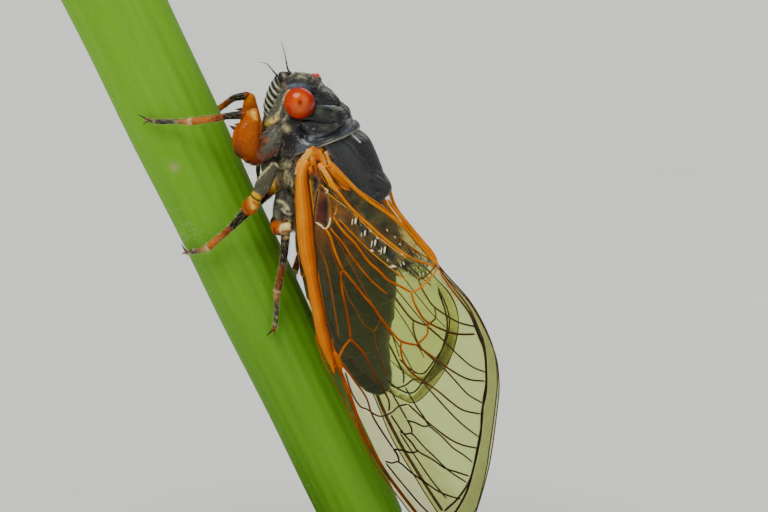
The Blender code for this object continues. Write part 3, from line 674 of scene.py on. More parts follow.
def film(name, wrinkle, gloss):
    """Clear tinted membrane: stained see-through, a veil of its own colour, and glints."""
    look, tree, shader = fresh(name)
    tree.nodes.remove(shader)
    where = add(tree, "TexCoord").outputs["Object"]
    cloud = ranged(tree, noise(tree, where, 1.1), 0.32, 0.68, 0.4, 1.7)
    veil = product(tree, attribute(tree, "veil"), cloud, use_clamp=True)
    cells = {"Vector": where, "Scale": 1.0 / (0.75 * MM)}
    lumps = add(tree, "TexVoronoi", cells, feature="SMOOTH_F1").outputs["Distance"]
    crimped = {0: attribute(tree, "crimp"), 1: lumps, 2: noise(tree, where, 0.5, 4.0, 0.6)}
    height = add(tree, "Math", crimped, operation="MULTIPLY_ADD").outputs[0]
    folds = {"Strength": 1.0, "Distance": wrinkle * MM, "Height": height}
    relief = add(tree, "Bump", folds).outputs[0]
    clear = add(tree, "BsdfTransparent", {"Color": attribute(tree, "stain", "Color")})
    body = add(tree, "BsdfPrincipled", {
        "Base Color": attribute(tree, "tint", "Color"), "Roughness": 0.5, "Normal": relief,
        "Specular IOR Level": 0.15,
    })
    glint = add(tree, "BsdfGlossy", {
        "Color": (1.0, 1.0, 0.95, 1.0), "Roughness": 0.16, "Normal": relief,
    })
    edge = add(tree, "Fresnel", {"IOR": gloss, "Normal": relief}).outputs[0]
    veiled = add(tree, "MixShader", {0: veil, 1: clear.outputs[0], 2: body.outputs[0]})
    shown = add(tree, "MixShader", {0: edge, 1: veiled.outputs[0], 2: glint.outputs[0]})
    tree.links.new(shown.outputs[0], tree.nodes["Material Output"].inputs["Surface"])
    return look


# Pieces


def piece(name, points, faces, look, slot, replaces=(), placed=False, **values):
    """One shown mesh from body points, with its per-point values, riding on the one body."""
    world = points if placed else points @ BODY_TURN.T + BODY_AT
    mesh = bpy.data.meshes.new(name)
    mesh.from_pydata((world * MM).tolist(), [], [f for part in faces for f in part.tolist()])
    for key, value in values.items():
        value = np.asarray(value, np.float32)
        if value.ndim == 1:
            kind, field = "FLOAT", "value"
        elif key == "lie":
            kind, field = "FLOAT_VECTOR", "vector"
        else:
            kind, field = "FLOAT_COLOR", "color"
            value = np.concatenate([value, np.ones((len(value), 1), np.float32)], 1)
        mesh.attributes.new(key, kind, "POINT").data.foreach_set(field, value.ravel())
    mesh.shade_smooth()
    mesh.materials.append(LOOKS[look])
    obj = shown(name, mesh)
    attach(obj, "root")
    if replaces:
        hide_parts(*replaces)
    return obj


def shown(name, data):
    """A new object in the scene."""
    obj = bpy.data.objects.new(name, data)
    bpy.context.scene.collection.objects.link(obj)
    return obj


def fused(shapes, voxel, rounds):
    """One skin over closed grids: points and quads, with blended joins."""
    points, faces, _ = joined([(*capped(grid), {}) for grid in shapes])
    mesh = bpy.data.meshes.new("core")
    mesh.from_pydata(points.tolist(), [], [f for part in faces for f in part.tolist()])
    obj = shown("core", mesh)
    remesh = obj.modifiers.new("skin", "REMESH")
    remesh.mode = "VOXEL"
    remesh.voxel_size = voxel
    ease = obj.modifiers.new("ease", "SMOOTH")
    ease.factor = 0.5
    ease.iterations = rounds
    done = obj.evaluated_get(bpy.context.evaluated_depsgraph_get()).to_mesh()
    points = np.empty(len(done.vertices) * 3)
    done.vertices.foreach_get("co", points)
    corners = np.empty(len(done.loops), int)
    done.loops.foreach_get("vertex_index", corners)
    bpy.data.objects.remove(obj)
    return points.reshape(-1, 3), [corners.reshape(-1, 4)]


def joined(parts):
    """Points, faces and values of several (points, faces, values) parts as one."""
    points, faces, values, count = [], [], {}, 0
    for part_points, part_faces, part_values in parts:
        points.append(part_points)
        faces += [f + count for f in part_faces]
        for key, value in part_values.items():
            values.setdefault(key, []).append(value)
        count += len(part_points)
    return np.vstack(points), faces, {k: np.concatenate(v) for k, v in values.items()}


def bar(grid, tint):
    """A part from a tube's grid, with its tint or a function that gives the tint at its points."""
    points, faces = capped(grid)
    return points, faces, {"tint": tint(points) if callable(tint) else plain(tint, points)}


def hairs(name, roots, ways, lengths, width, tints, unwrap, slot, placed=False):
    """Fine tapering hairs as closed spikes, each with its patch on the skin's own unwrap."""
    count = len(roots)
    rng = np.random.default_rng(count)
    ways = unit(ways)
    side = unit(np.cross(ways, rng.normal(size=(count, 3))))
    across = np.cross(ways, side)
    lengths, widths = lengths[:, None], np.full(count, width)[:, None]
    levels = []
    for part, wide in ((-0.06, 0.8), (0.3, 1.0), (0.66, 0.65)):
        centre = roots + ways * lengths * part + side * lengths * HAIR_BEND * max(part, 0) ** 2
        levels.append(np.stack([
            centre + (side * math.cos(a) + across * math.sin(a)) * widths * wide
            for a in (0, math.tau / 3, math.tau * 2 / 3)
        ], 1))
    tip = (roots + ways * lengths + side * lengths * HAIR_BEND)[:, None]
    points = np.concatenate([*levels, tip], 1)
    base = np.arange(count)[:, None] * POINTS_PER_HAIR
    quads, tris = [], [(2, 1, 0)]
    for k in range(3):
        n = (k + 1) % 3
        for low in (0, 3):
            quads.append((low + k, low + n, low + 3 + n, low + 3 + k))
        tris.append((6 + k, 6 + n, 9))
    quads = (base[:, None] + np.array(quads)[None]).reshape(-1, 4)
    tris = (base[:, None] + np.array(tris)[None]).reshape(-1, 3)
    obj = piece(name, points.reshape(-1, 3), [quads, tris], "down", slot, placed=placed,
                tint=np.repeat(tints, POINTS_PER_HAIR, 0))
    mesh = obj.data
    layer = mesh.uv_layers.new(name="OFBake")
    spread = np.array([(k % 3, k // 3) for k in range(POINTS_PER_HAIR)]) * 0.001
    place = np.repeat(unwrap, POINTS_PER_HAIR, 0) + np.tile(spread, (count, 1))
    corners = np.empty(len(mesh.loops), int)
    mesh.loops.foreach_get("vertex_index", corners)
    layer.data.foreach_set("uv", place[corners].astype(np.float32).ravel())


def coat(name, skin, normals, mask, count, lie, length, width, tint, seed, slot, stand):
    """Hairs scattered over a skin where the mask allows, leaning along lie."""
    rng = np.random.default_rng(seed)
    chance = np.clip(mask, 0, None)
    picked = rng.choice(len(skin), count, replace=False, p=chance / chance.sum())
    root, out = skin[picked], normals[picked]
    lie = np.broadcast_to(np.asarray(lie, float), root.shape)
    flat = lie - out * (lie * out).sum(1)[:, None]
    flat /= np.maximum(np.linalg.norm(flat, axis=1), 1e-6)[:, None]
    way = flat + out * (stand + rng.uniform(-0.1, 0.25, count))[:, None]
    way = way + rng.normal(size=(count, 3)) * 0.22
    sizes = length * rng.uniform(0.55, 1.25, count)
    tints = np.asarray(tint) * rng.uniform(0.7, 1.2, (count, 1))
    around = np.arctan2(root[:, 1], root[:, 2] + 1.5) / math.tau + 0.5
    unwrap = np.stack([around * 0.95 + 0.02, (root[:, 0] + 24) / 40], 1)
    hairs(name, root, way, sizes, width, tints, unwrap, slot)


LOOKS = {
    "shell": surface("shell_black", (0.34, 0.56), 0.35, 0.2, 0.022, 0.09, coat=0.32, coat_rough=0.2,
        gloss=0.28),
    "face": surface("face_shell", (0.36, 0.56), 0.4, 0.12, 0.022, 0.07, coat=0.05, gloss=0.3),
    "eye": surface("eye_red", (0.35, 0.45), 0.1, 0.25, 0.003, 0.05, coat=0.6, coat_rough=0.14,
        gloss=0.03,
                   glow=0.03, facets=0.05),
    "ocellus": surface("ocellus_red", (0.2, 0.3), 0.1, 0.2, 0.002, 0.05, coat=1.0, coat_rough=0.1,
        gloss=0.2),
    "horn": surface("feeler_black", (0.35, 0.55), 0.3, 0.1, 0.012, 0.05),
    "leg": surface("leg_amber", (0.32, 0.48), 0.25, 0.25, 0.016, 0.08, coat=0.16, coat_rough=0.12,
        gloss=0.05,
                   glow=0.03),
    "claw": surface("claw_dark", (0.2, 0.35), 0.3, 0.1, 0.005, 0.05),
    "vein": surface("wing_vein", (0.44, 0.6), 0.12, 0.2, 0.015, 0.1, coat=0.03, coat_rough=0.2,
        gloss=0.05,
                    glow=0.04),
    "hinge": surface("wing_hinge", (0.4, 0.6), 0.25, 0.2, 0.03, 0.12, coat=0.04, gloss=0.05,
        glow=0.05),
    "down": surface("pale_down", (0.5, 0.7), 0.1, 0.1, 0.002, 0.03),
    "fore": film("wing_fore_film", 0.05, 1.28),
    "hind": film("wing_hind_film", 0.05, 1.24),
    "bark": surface("bark_green", (0.5, 0.66), 0.1, 0.9, 0.015, 0.35, gloss=0.2, glow=0.08,
                    where_name="lie", dust=(0.75, 0.8, 0.6)),
    "cut": surface("bark_cut", (0.6, 0.8), 0.25, 0.25, 0.05, 0.15),
    "board": surface("stand_grey", (0.36, 0.48), 0.08, 1.5, 0.02, 0.25),
    "rod": surface("stand_rod_grey", (0.28, 0.4), 0.08, 1.0, 0.01, 0.15),
}


# Head


def near_eye(points):
    """How far outside the eyeball a point is, as a share of its radius."""
    return np.linalg.norm((near_side(points) - EYE_AT) / EYE_RADII, axis=1) - 1


def build_head():
    shapes = [
        lofted((
            (6.4, 0.42, -0.85, 2.6, 2.7, 3.1),
            (7.15, 0.42, -0.85, 2.85, 2.8, 3.4),
            (7.8, 0.36, -0.85, 2.95, 2.45, 3.35),
            (8.6, 0.2, -0.75, 2.7, 1.65, 3.0),
            (9.4, 0.1, -0.55, 1.8, 0.85, 2.3),
            (9.95, 0.05, -0.7, 1.15, 0.55, 1.6),
        ), 40, 64),
        ball_points((8.3, 0, -1.65), (2.0, 1.35, 1.15), -40),
    ]
    for s in (1, -1):
        shapes += [
            ball_points((9.3, 1.5 * s, -0.15), (0.75, 0.85, 0.48), 10),
            ball_points((9.55, 1.85 * s, -0.8), (0.44, 0.38, 0.38)),
            ball_points((7.1, 1.7 * s, -2.6), (0.95, 0.62, 0.55), -40),
            ball_points((6.6, 2.3 * s, -2.3), (0.8, 0.85, 0.85)),
        ]
    shapes += [
        ball_points((7.15, 0, -3.1), (0.85, 0.8, 0.62), -40),
        ball_points((6.75, 0, -3.65), (0.65, 0.5, 0.42), -28),
    ]
    points, faces = fused(shapes, 0.075, 5)
    normal = all_normals(points, faces)
    view = side_view(points)
    gap = near_eye(points)
    x, y, z = points.T
    rim = bell(gap, 0.09, 0.05) * step(1.35, 0.9, z)
    ditch = bell(gap, 0, 0.05)
    crown = step(0.2, 1.2, z) * step(6.5, 7.5, x)
    height = 0.06 * rim - 0.12 * ditch
    height += crown * 0.06 * bell(np.abs(y), 1.15, 0.35)
    height -= crown * 0.1 * bell(y, 0, 0.12) * step(10.2, 8.0, x)
    height -= 0.1 * stroke(view, ((310, 79), (303, 80.5), (294, 80), (287, 81)), 1.0) * crown
    for line in (((285, 96), (281, 104), (274, 114)), ((284, 117), (279, 122), (273, 129))):
        height -= 0.09 * stroke(view, line, 1.2)
    height += (
        0.05 * waves(points, 0.5, 3) * step(1.0, 0.0, z) + 0.03 * waves(points, 0.7, 2) * crown
    )
    height += 0.016 * waves(points, 0.22, 4)
    points = points + normal * height[:, None]
    patch = waves(points, 0.5, 5)
    tint = painted(plain(BLACK, points), (step(-0.2, 0.9, patch) * 0.6, SOOT))
    # Painted bluish sheen in a band above the eye
    blue_sheen = stroke(view, ((287, 85.5), (299, 84.5), (311, 87)), 2.0) * step(-1.0, 0.3, patch)
    tint = painted(tint, (blue_sheen, (0.055, 0.075, 0.13)))
    crumbs = step(-0.5, 0.35, waves(points, 0.24, 6))
    tint = painted(
        tint,
        (stroke(view, ((290, 76.5), (300, 75), (311, 77.5)), 2.6) * crumbs * step(-0.9, 0.0, patch),
            (0.46, 0.42, 0.24)),
    )
    cheek = step(1.2, 2.0, np.abs(y)) * step(-0.4, -1.2, z)
    tint = painted(
        tint,
        (cheek * step(-0.6, 0.8, patch) * crumbs * 0.85, (0.24, 0.22, 0.15)),
        (stroke(view, ((279, 120), (284, 122.5), (290, 126)), 4.0) * step(-0.3, 0.5,
            patch) * crumbs, (0.5, 0.47, 0.36)),
        (stroke(view, ((268, 124), (271, 121.5), (275.5, 117.5)), 3.2) * (0.25 + crumbs),
            (0.88, 0.58, 0.06)),
        (stroke(view, ((284, 91), (280.5, 99), (276.5, 107), (271, 115)), 2.4) * 0.9,
            (0.022, 0.024, 0.045)),
    )
    bright = stroke(view, ((289, 91), (285, 96), (282.3, 101), (280.5, 107), (278.5, 112),
        (275.5, 116)), 1.3)
    tint = painted(
        tint,
        (bright * (0.35 + crumbs), (0.66, 0.56, 0.22)),
        (stroke(view, ((289, 91), (285.5, 95.5)), 1.3), YELLOW),
        (stroke(view, ((284, 108), (286, 114), (290, 119)), 2.0) * crumbs, (0.36, 0.34, 0.12)),
        (stroke(view, ((281.5, 79), (283.5, 84), (285, 88)), 1.5) * (0.2 + crumbs),
            (0.44, 0.25, 0.05)),
        (stroke(view, ((322, 81.5), (318.5, 89), (316.5, 97)), 0.9) * 0.9, (0.55, 0.6, 0.62)),
        (ditch * step(-0.2, 0.4, z) * 0.9, PITCH),
    )
    dust = 0.12 + 0.5 * cheek + 0.25 * crown * step(0.0, 0.9, waves(points, 1.1, 8))
    piece("head_shell", points, faces, "face", "shell_black", ["head"], tint=tint, dust=dust)
    mask = (gap > 0.05) * (0.25 + cheek * 1.6 + step(1.2, 2.2, z) * 0.5) * (x > 6.9)
    coat(
        "head_down", points, all_normals(points, faces), mask, 1100, (-0.3, 0.0, 0.25), 0.32,
        0.0075, (0.6, 0.56, 0.4), 41, "shell_black", 0.7,
    )
    build_clypeus()
    for word in SIDES:
        build_eye(word)
        build_feeler(word)
    build_ocelli(points, normal)
    beak = smooth(((7.0, 0, -3.6), (6.25, 0, -4.12), (5.45, 0, -4.55), (4.5, 0, -5.14),
        (3.42, 0, -5.8), (2.1, 0, -6.3)), 10)
    run = np.linspace(0, 1, len(beak))
    width = np.interp(run, (0, 0.12, 0.3, 0.6, 0.9, 1), (0.42, 0.36, 0.27, 0.23, 0.2, 0.1))
    for knot in (0.18, 0.62):
        width = width * (1 - 0.22 * bell(run, knot, 0.02))
    points, faces = capped(round_tube(beak, width, 20))
    tint = painted(plain(PITCH, points), (step(5.6, 6.6, points[:, 0]), UMBER))
    piece("rostrum_beak", points, faces, "horn", "feeler_black", ["rostrum"], tint=tint)


def build_clypeus():
    """Swollen striped front of the face: slanting black ridges with pale hollows between."""
    rise = np.array((0.77, 0, 0.638))
    front = np.array((0.638, 0, -0.77))
    centre = np.array((8.42, 0, -1.79))
    rows, sides = 210, 210
    lat = np.radians(np.linspace(-84, 84, rows))[:, None]
    lon = np.radians(np.linspace(-118, 118, sides))[None, :]
    girth = np.cos(lat) ** 0.7
    long_part = np.sin(lat) + 0 * lon
    across = girth * np.sin(lon)
    out = girth * np.cos(lon)
    grid = (
        centre + rise * (2.28 * long_part)[..., None]
        + np.array((0, 1, 0)) * (1.66 * across)[..., None]
        + front * (1.3 * np.sign(out) * np.abs(out) ** 0.85)[..., None]
    )
    points = grid.reshape(-1, 3)
    faces, normal = outward(points, [grid_faces(rows, sides, closed=False)], points - centre)
    long_part, across, out = long_part.ravel(), np.abs(across.ravel()), out.ravel()
    phase = (long_part * 2.28 + 0.52 * (1.0 - out) + 0.03 * waves(points, 0.7, 12)) / 0.56
    band = 0.5 + 0.5 * np.cos(phase * math.tau)
    fade = step(0.02, 0.07, across) * step(0.99, 0.9, np.abs(long_part)) * step(-0.45, -0.2, out)
    height = 0.1 * (band - 0.5) * fade + 0.01 * bell(across, 0, 0.05)
    height = height + 0.008 * waves(points, 0.2, 9)
    height -= 0.5 * step(0.2, -0.3, out)
    points = points + normal * height[:, None]
    tint = plain(BLACK, points)
    groove = step(0.44, 0.2, band + 0.12 * waves(points, 0.3, 11)) * fade
    pale = np.where((long_part > 0.45)[:, None], (0.46, 0.48, 0.38), (0.58, 0.57, 0.36))
    tint = tint + (pale - tint) * groove[:, None]
    tint = painted(tint, (step(0.82, 1.0, np.abs(long_part)) * 0.4, UMBER))
    piece("clypeus_shell", points, faces, "face", "shell_black", tint=tint,
        dust=0.05 + 0.6 * groove)
    coat(
        "clypeus_down", points, normal, groove * (out > -0.1), 500, (-0.6, 0.0, 0.6), 0.2, 0.007,
        (0.66, 0.6, 0.4), 42, "shell_black", 0.5,
    )


def build_eye(word):
    grid = ball_points((0, 0, 0), (1, 1, 1), 0, 140, 90)
    points, faces = capped(grid[..., (0, 2, 1)] * np.array((1, 1, -1)))
    ball = unit(points)
    faces, _ = outward(points, faces, ball)
    place = ball * EYE_RADII + EYE_AT
    facing = ball[:, 1]
    spot = np.linalg.norm((side_view(place) - (300.0, 102.6)) / (2.1, 2.9), axis=1)
    # Painted light and shade: lighter orange where the eye faces out sideways, darker red towards
    # its rim and its rear, upper edge; a dark pseudopupil with a lighter ring is painted where the
    # side view sees it
    tint = painted(
        plain((0.48, 0.014, 0.0), points),
        (step(0.15, 0.95, facing + 0.08 * waves(ball, 0.8, 21)), (0.6, 0.036, 0.0)),
        (step(0.3, -0.15, facing), (0.2, 0.005, 0.0)),
        (step(1.3, 0.4, spot) * 0.8, (0.11, 0.015, 0.004)),
        (bell(spot, 2.6, 1.4) * 0.4, (0.74, 0.2, 0.0)),
        (step(0.2, 1.0, -0.75 * ball[:, 0] + 0.65 * ball[:, 2]) * 0.75, (0.22, 0.008, 0.0)),
    )
    place, faces = sided(word, place, faces)
    if word == "right":
        place = place + FAR_EYE_SHIFT
    piece(f"eye_{word}_globe", place, faces, "eye", "eye_red", [f"eye_{word}"], tint=tint)


def build_feeler(word):
    path = smooth(FEELERS[word], 16)
    run = np.linspace(0, 1, len(path))
    width = np.interp(run, (0, 0.14, 0.24, 0.3, 0.36, 0.6, 1.0),
                      (0.27, 0.25, 0.2, 0.13, 0.085, 0.055, 0.018))
    for knot in (0.2, 0.34, 0.48, 0.62, 0.76):
        width = width * (1 - 0.3 * bell(run, knot, 0.012))
    points, faces = capped(round_tube(path, width, 16))
    root = np.linalg.norm(points - path[0], axis=1)
    tint = painted(plain(BLACK, points), (step(0.55, 0.2, root), UMBER))
    piece(f"antenna_{word}_bristle", points, faces, "horn", "feeler_black",
          [f"antenna_{word}"], tint=tint)


def build_ocelli(skin, normal):
    """Three small red simple eyes in a triangle on the crown."""
    parts = []
    for x, y in ((9.38, 0.0), (9.26, 0.36), (9.26, -0.36)):
        top = skin[(np.hypot(skin[:, 0] - x, skin[:, 1] - y) < 0.12) & (normal[:, 2] > 0.2)]
        at = top[np.argmax(top[:, 2])] - (0, 0, 0.02)
        parts.append(bar(ball_points(at, (0.24, 0.22, 0.22), 0, 28, 18), (0.55, 0.012, 0.0)))
    points, faces, values = joined(parts)
    piece("ocelli", points, faces, "ocellus", "eye_red", **values)


# Thorax and abdomen


def build_pronotum():
    rows, sides = 150, 300
    outer = lofted((
        (7.05, 0.42, -0.85, 2.45, 2.4, 3.1),
        (6.75, 0.42, -0.8, 2.95, 2.85, 3.75),
        (5.9, 0.28, -0.4, 3.15, 3.3, 4.2),
        (5.0, 0.12, -0.25, 3.65, 3.5, 4.35),
        (4.3, 0.02, -0.2, 4.12, 3.65, 4.72),
        (3.62, 0.0, -0.2, 4.12, 3.7, 4.78),
    ), rows, sides)
    lip = outer[-1]
    middle = np.array((0, 0, -0.25))
    inward = [
        middle + (lip - middle) * (1, k, k) + (dx, 0, 0)
        for k, dx in ((0.995, -0.1), (0.98, -0.15), (0.96, -0.15), (0.94, -0.08), (0.93, 0.2),
            (0.9, 0.8))
    ]
    points, faces = capped(np.concatenate([outer, np.array(inward)]))
    faces, normal = outward(points, faces, points * (0, 0, 1))
    view = side_view(points)
    x, y, z = points.T
    on_top = step(-2.2, -0.8, z)
    lines = (
        (((315.5, 101.5), (319, 102.6), (325, 103.2), (332, 103), (338.5, 104.2)), 1.8, 0.26),
        (((303, 119.5), (312, 119.3), (322, 121), (335, 121.5)), 1.6, 0.15),
        (((298, 129), (305.5, 136.5), (314.5, 139.6), (325, 139), (335, 134), (345.5, 126),
            (351, 118)), 3.9, 0.42),
    )
    height = np.zeros(len(points))
    shaded_grooves = np.zeros(len(points))
    for line, width, depth in lines:
        mask = stroke(view, line, width) * on_top
        height -= depth * mask
        shaded_grooves = np.maximum(shaded_grooves, mask)
    swell = stroke(view, ((317, 111), (327, 111), (340, 113)), 5.0)
    swell += stroke(view, ((303, 128), (318, 130), (334, 127)), 4.5)
    swell += 0.7 * stroke(view, ((322, 92), (330, 94), (337, 97)), 4.5)
    height += 0.2 * swell * on_top
    collar = step(4.55, 4.2, x) * on_top
    height += 0.08 * collar * bell(x, 3.8, 0.3)
    back = step(2.2, 3.2, z)
    height -= 0.08 * back * bell(np.abs(y), 0.55, 0.14) * step(4.3, 4.9, x)
    height += 0.05 * back * bell(y, 0, 0.3) * step(4.3, 4.9, x)
    height += 0.02 * waves(points, 0.7, 31) + 0.01 * waves(points, 0.3, 32)
    height += 0.012 * np.sin(x * 26 + waves(points, 1.2, 33) * 3) * step(4.5, 4.9, x) * (1 - shaded_grooves)
    height[x < 3.6] *= 0.3
    points = points + normal * height[:, None]
    # Painted sheen: olive on the swells. Painted shade: the grooves darker and bluer than the black
    # around them
    tint = painted(
        plain(BLACK, points),
        (np.clip(swell, 0, 1) * step(-0.6, 0.8, waves(points, 0.5, 34)) * 0.9,
            (0.054, 0.066, 0.032)),
        (collar * step(-0.9, 0.6, waves(points, 0.6, 37)) * 0.9, (0.062, 0.072, 0.086)),
        (shaded_grooves * 0.95, (0.003, 0.004, 0.01)),
    )
    # Painted highlights: pale bluish lines below the grooves
    lip_highlights = 0.55 * stroke(view, ((318, 104.5), (326, 105.5), (335, 106)), 1.2)
    lip_highlights = np.maximum(lip_highlights, stroke(view, ((302, 139), (307, 143.5), (311, 145)), 1.3))
    lip_highlights = np.maximum(lip_highlights, 0.6 * stroke(view, ((304, 134.5), (313, 136), (324, 134.5)), 0.9))
    tint = painted(
        tint,
        (lip_highlights * on_top * step(-0.8, 0.2, waves(points, 0.3, 38)) * 0.85, (0.3, 0.34, 0.38)),
    )
    edge = bell(x, 3.55, 0.06) * on_top
    tint = painted(tint, (edge * 0.9, (0.5, 0.42, 0.3)))
    tuft = stroke(view, ((284, 126), (287, 129)), 3.0)
    tint = painted(tint, (tuft * 0.8, CREAM))
    low = step(-1.6, -2.8, z)
    tint = painted(
        tint,
        (low * step(-0.6, 0.8, waves(points, 0.5, 35)) * step(-0.4, 0.3, waves(points, 0.22, 36)),
            ASH),
    )
    dust = (0.05 + 0.1 * collar + 0.4 * low) * (1 - shaded_grooves)
    piece("pronotum_shell", points, faces, "shell", "shell_black", ["pronotum"], tint=tint,
        dust=dust)
    normal = all_normals(points, faces)
    mask = (1 - shaded_grooves) * (x > 3.6) * (0.35 + 1.6 * low + 4 * tuft)
    coat(
        "pronotum_down", points, normal, mask, 1300, (-0.9, 0.0, 0.1), 0.26, 0.0065,
        (0.42, 0.4, 0.32), 43, "shell_black", 0.45,
    )


def build_thorax():
    rows, sides = 260, 300
    grid = lofted((
        (5.2, 0, -0.3, 3.2, 3.1, 3.5),
        (4.2, 0, -0.3, 3.75, 3.45, 4.1),
        (3.45, 0, -0.3, 4.15, 3.8, 4.35),
        (2.4, 0, -0.3, 4.78, 4.0, 4.35),
        (0.6, 0, -0.3, 4.98, 4.3, 4.2),
        (-1.2, 0, -0.3, 5.02, 4.35, 3.6),
        (-2.4, 0, -0.4, 5.1, 4.2, 3.3),
        (-3.1, 0, -0.8, 4.6, 3.9, 3.15),
        (-3.5, 0, -1.0, 3.4, 3.6, 3.1),
        (-4.3, 0, -1.1, 2.6, 3.0, 2.8),
    ), rows, sides)
    points, faces = capped(grid)
    faces, normal = outward(points, faces, points * (0, 0, 1))
    view = side_view(points)
    x, y, z = points.T
    wide = np.abs(y)
    rim_z = np.interp(x, (-3, -1.5, 0.5, 2.5, 4), (3.6, 2.6, 1.8, 1.6, 1.2))
    back = step(-0.25, 0.25, z - rim_z)
    height = 0.1 * bell(z, rim_z, 0.25) - 0.18 * bell(z - rim_z, -0.5, 0.3)
    above = np.stack([x, wide], 1)
    arms = nearest(above, (
        ((-0.7, 1.9), (-1.5, 1.0), (-2.1, 0.35), (-2.6, 0.3)),
        ((-2.1, 0.35), (-2.7, 0.9), (-3.2, 1.7)),
    ))
    cross = bell(arms, 0, 0.3) * back
    height += 0.22 * cross - 0.1 * bell(arms, 0.65, 0.3) * back * step(0.0, -0.8, x)
    bars = nearest(above, (
        ((3.6, 1.2), (2.4, 0.95), (1.2, 0.5), (0.9, 0.15)), ((3.4, 2.9), (1.8, 2.7), (0.3, 2.1)),
    ))
    height -= 0.045 * bell(bars, 0, 0.09) * back
    pleura = (1 - back) * step(-4.6, -3.6, z + 0.6)
    seams = np.zeros(len(points))
    for line in (
        ((281, 205.5), (285, 211), (290, 218)), ((279, 213), (283, 218), (288, 221.5)),
        ((286, 138), (292, 150), (294, 163), (290, 172)), ((306, 146), (299, 156), (291, 168)),
        ((279.5, 191), (281, 180), (281.5, 171)), ((276, 200), (282, 194), (290, 191)),
        ((276, 215), (282, 219), (290, 220)), ((292, 172), (293.5, 186), (292, 204)),
    ):
        seams = np.maximum(seams, stroke(view, line, 1.5))
    height += pleura * (0.12 * waves(points, 1.2, 51) + 0.08 * waves(points, 0.5, 52) - 0.2 * seams)
    height += 0.01 * waves(points, 0.35, 53) + 0.035 * waves(points, 0.22, 50) * pleura
    points = points + normal * height[:, None]
    patch = waves(points, 0.45, 55)
    tint = plain(BLACK, points)
    sheen = stroke(view, ((345, 143), (356, 158), (365, 176)), 9.0)
    tint = painted(tint, (back * sheen * 0.5, (0.03, 0.032, 0.034)))
    crumbs = step(-0.35, 0.35, waves(points, 0.22, 58))
    tint = painted(
        tint,
        (pleura * step(-0.6, 0.5, patch) * (0.2 + 0.8 * crumbs), (0.27, 0.25, 0.17)),
        (pleura * step(0.35, 0.8, waves(points, 0.7, 57)) * crumbs, (0.56, 0.49, 0.27)),
        (pleura * step(0.25, 0.7, waves(points, 0.5, 56)) * 0.9, PITCH),
    )
    for line, width in (
        (((286.2, 170.8), (284.5, 180), (281.5, 190)), 1.7),
        (((288.5, 173), (287.5, 184)), 0.9),
        (((278.2, 200.3), (283.6, 203), (288.1, 209.8)), 1.5),
        (((279.7, 206), (285, 212), (291, 214.4)), 1.0),
        (((275, 163), (279, 167), (283, 169.5)), 1.0),
        (((283.5, 164.5), (288.5, 165.5)), 2.2),
        (((279.7, 174.6), (277.4, 184.6)), 1.0),
        (((290, 191), (293, 194)), 1.3),
        (((286, 124), (286.5, 128)), 1.6),
        (((289, 197), (291, 203)), 1.1),
        (((290, 178), (291, 186)), 0.9),
        (((279, 155), (283, 158)), 1.0),
    ):
        tint = painted(
            tint,
            (stroke(view, line, width) * (1 - back) * (0.5 + crumbs), (0.8, 0.68, 0.32)),
        )
    tint = painted(tint, (seams * (1 - back) * 0.9, PITCH))
    # Painted highlight: a short pale streak on the back
    streak_highlight = stroke(view, ((352.5, 134.5), (356, 138), (360, 142)), 0.8) * back
    tint = painted(tint, (streak_highlight, (0.6, 0.6, 0.56)))
    belly = step(-3.0, -4.0, z)
    tint = painted(tint, (belly * 0.6, RUST))
    dust = 0.06 * back + 0.25 * (1 - back)
    piece("thorax_shell", points, faces, "shell", "shell_black", ["mesothorax"], tint=tint,
        dust=dust)
    normal = all_normals(points, faces)
    inside = (x < 3.5) & (x > -3.2)
    coat(
        "mesonotum_down", points, normal, back * inside, 1200, (-1.0, 0.0, 0.0), 0.22, 0.0055,
        (0.2, 0.2, 0.18), 44, "shell_black", 0.25,
    )
    coat(
        "pleura_down", points, normal, (1 - back) * inside * (z < 1), 3600, (-0.6, 0.0, -0.7), 0.45,
        0.0085, (0.62, 0.57, 0.4), 45, "shell_black", 0.6,
    )


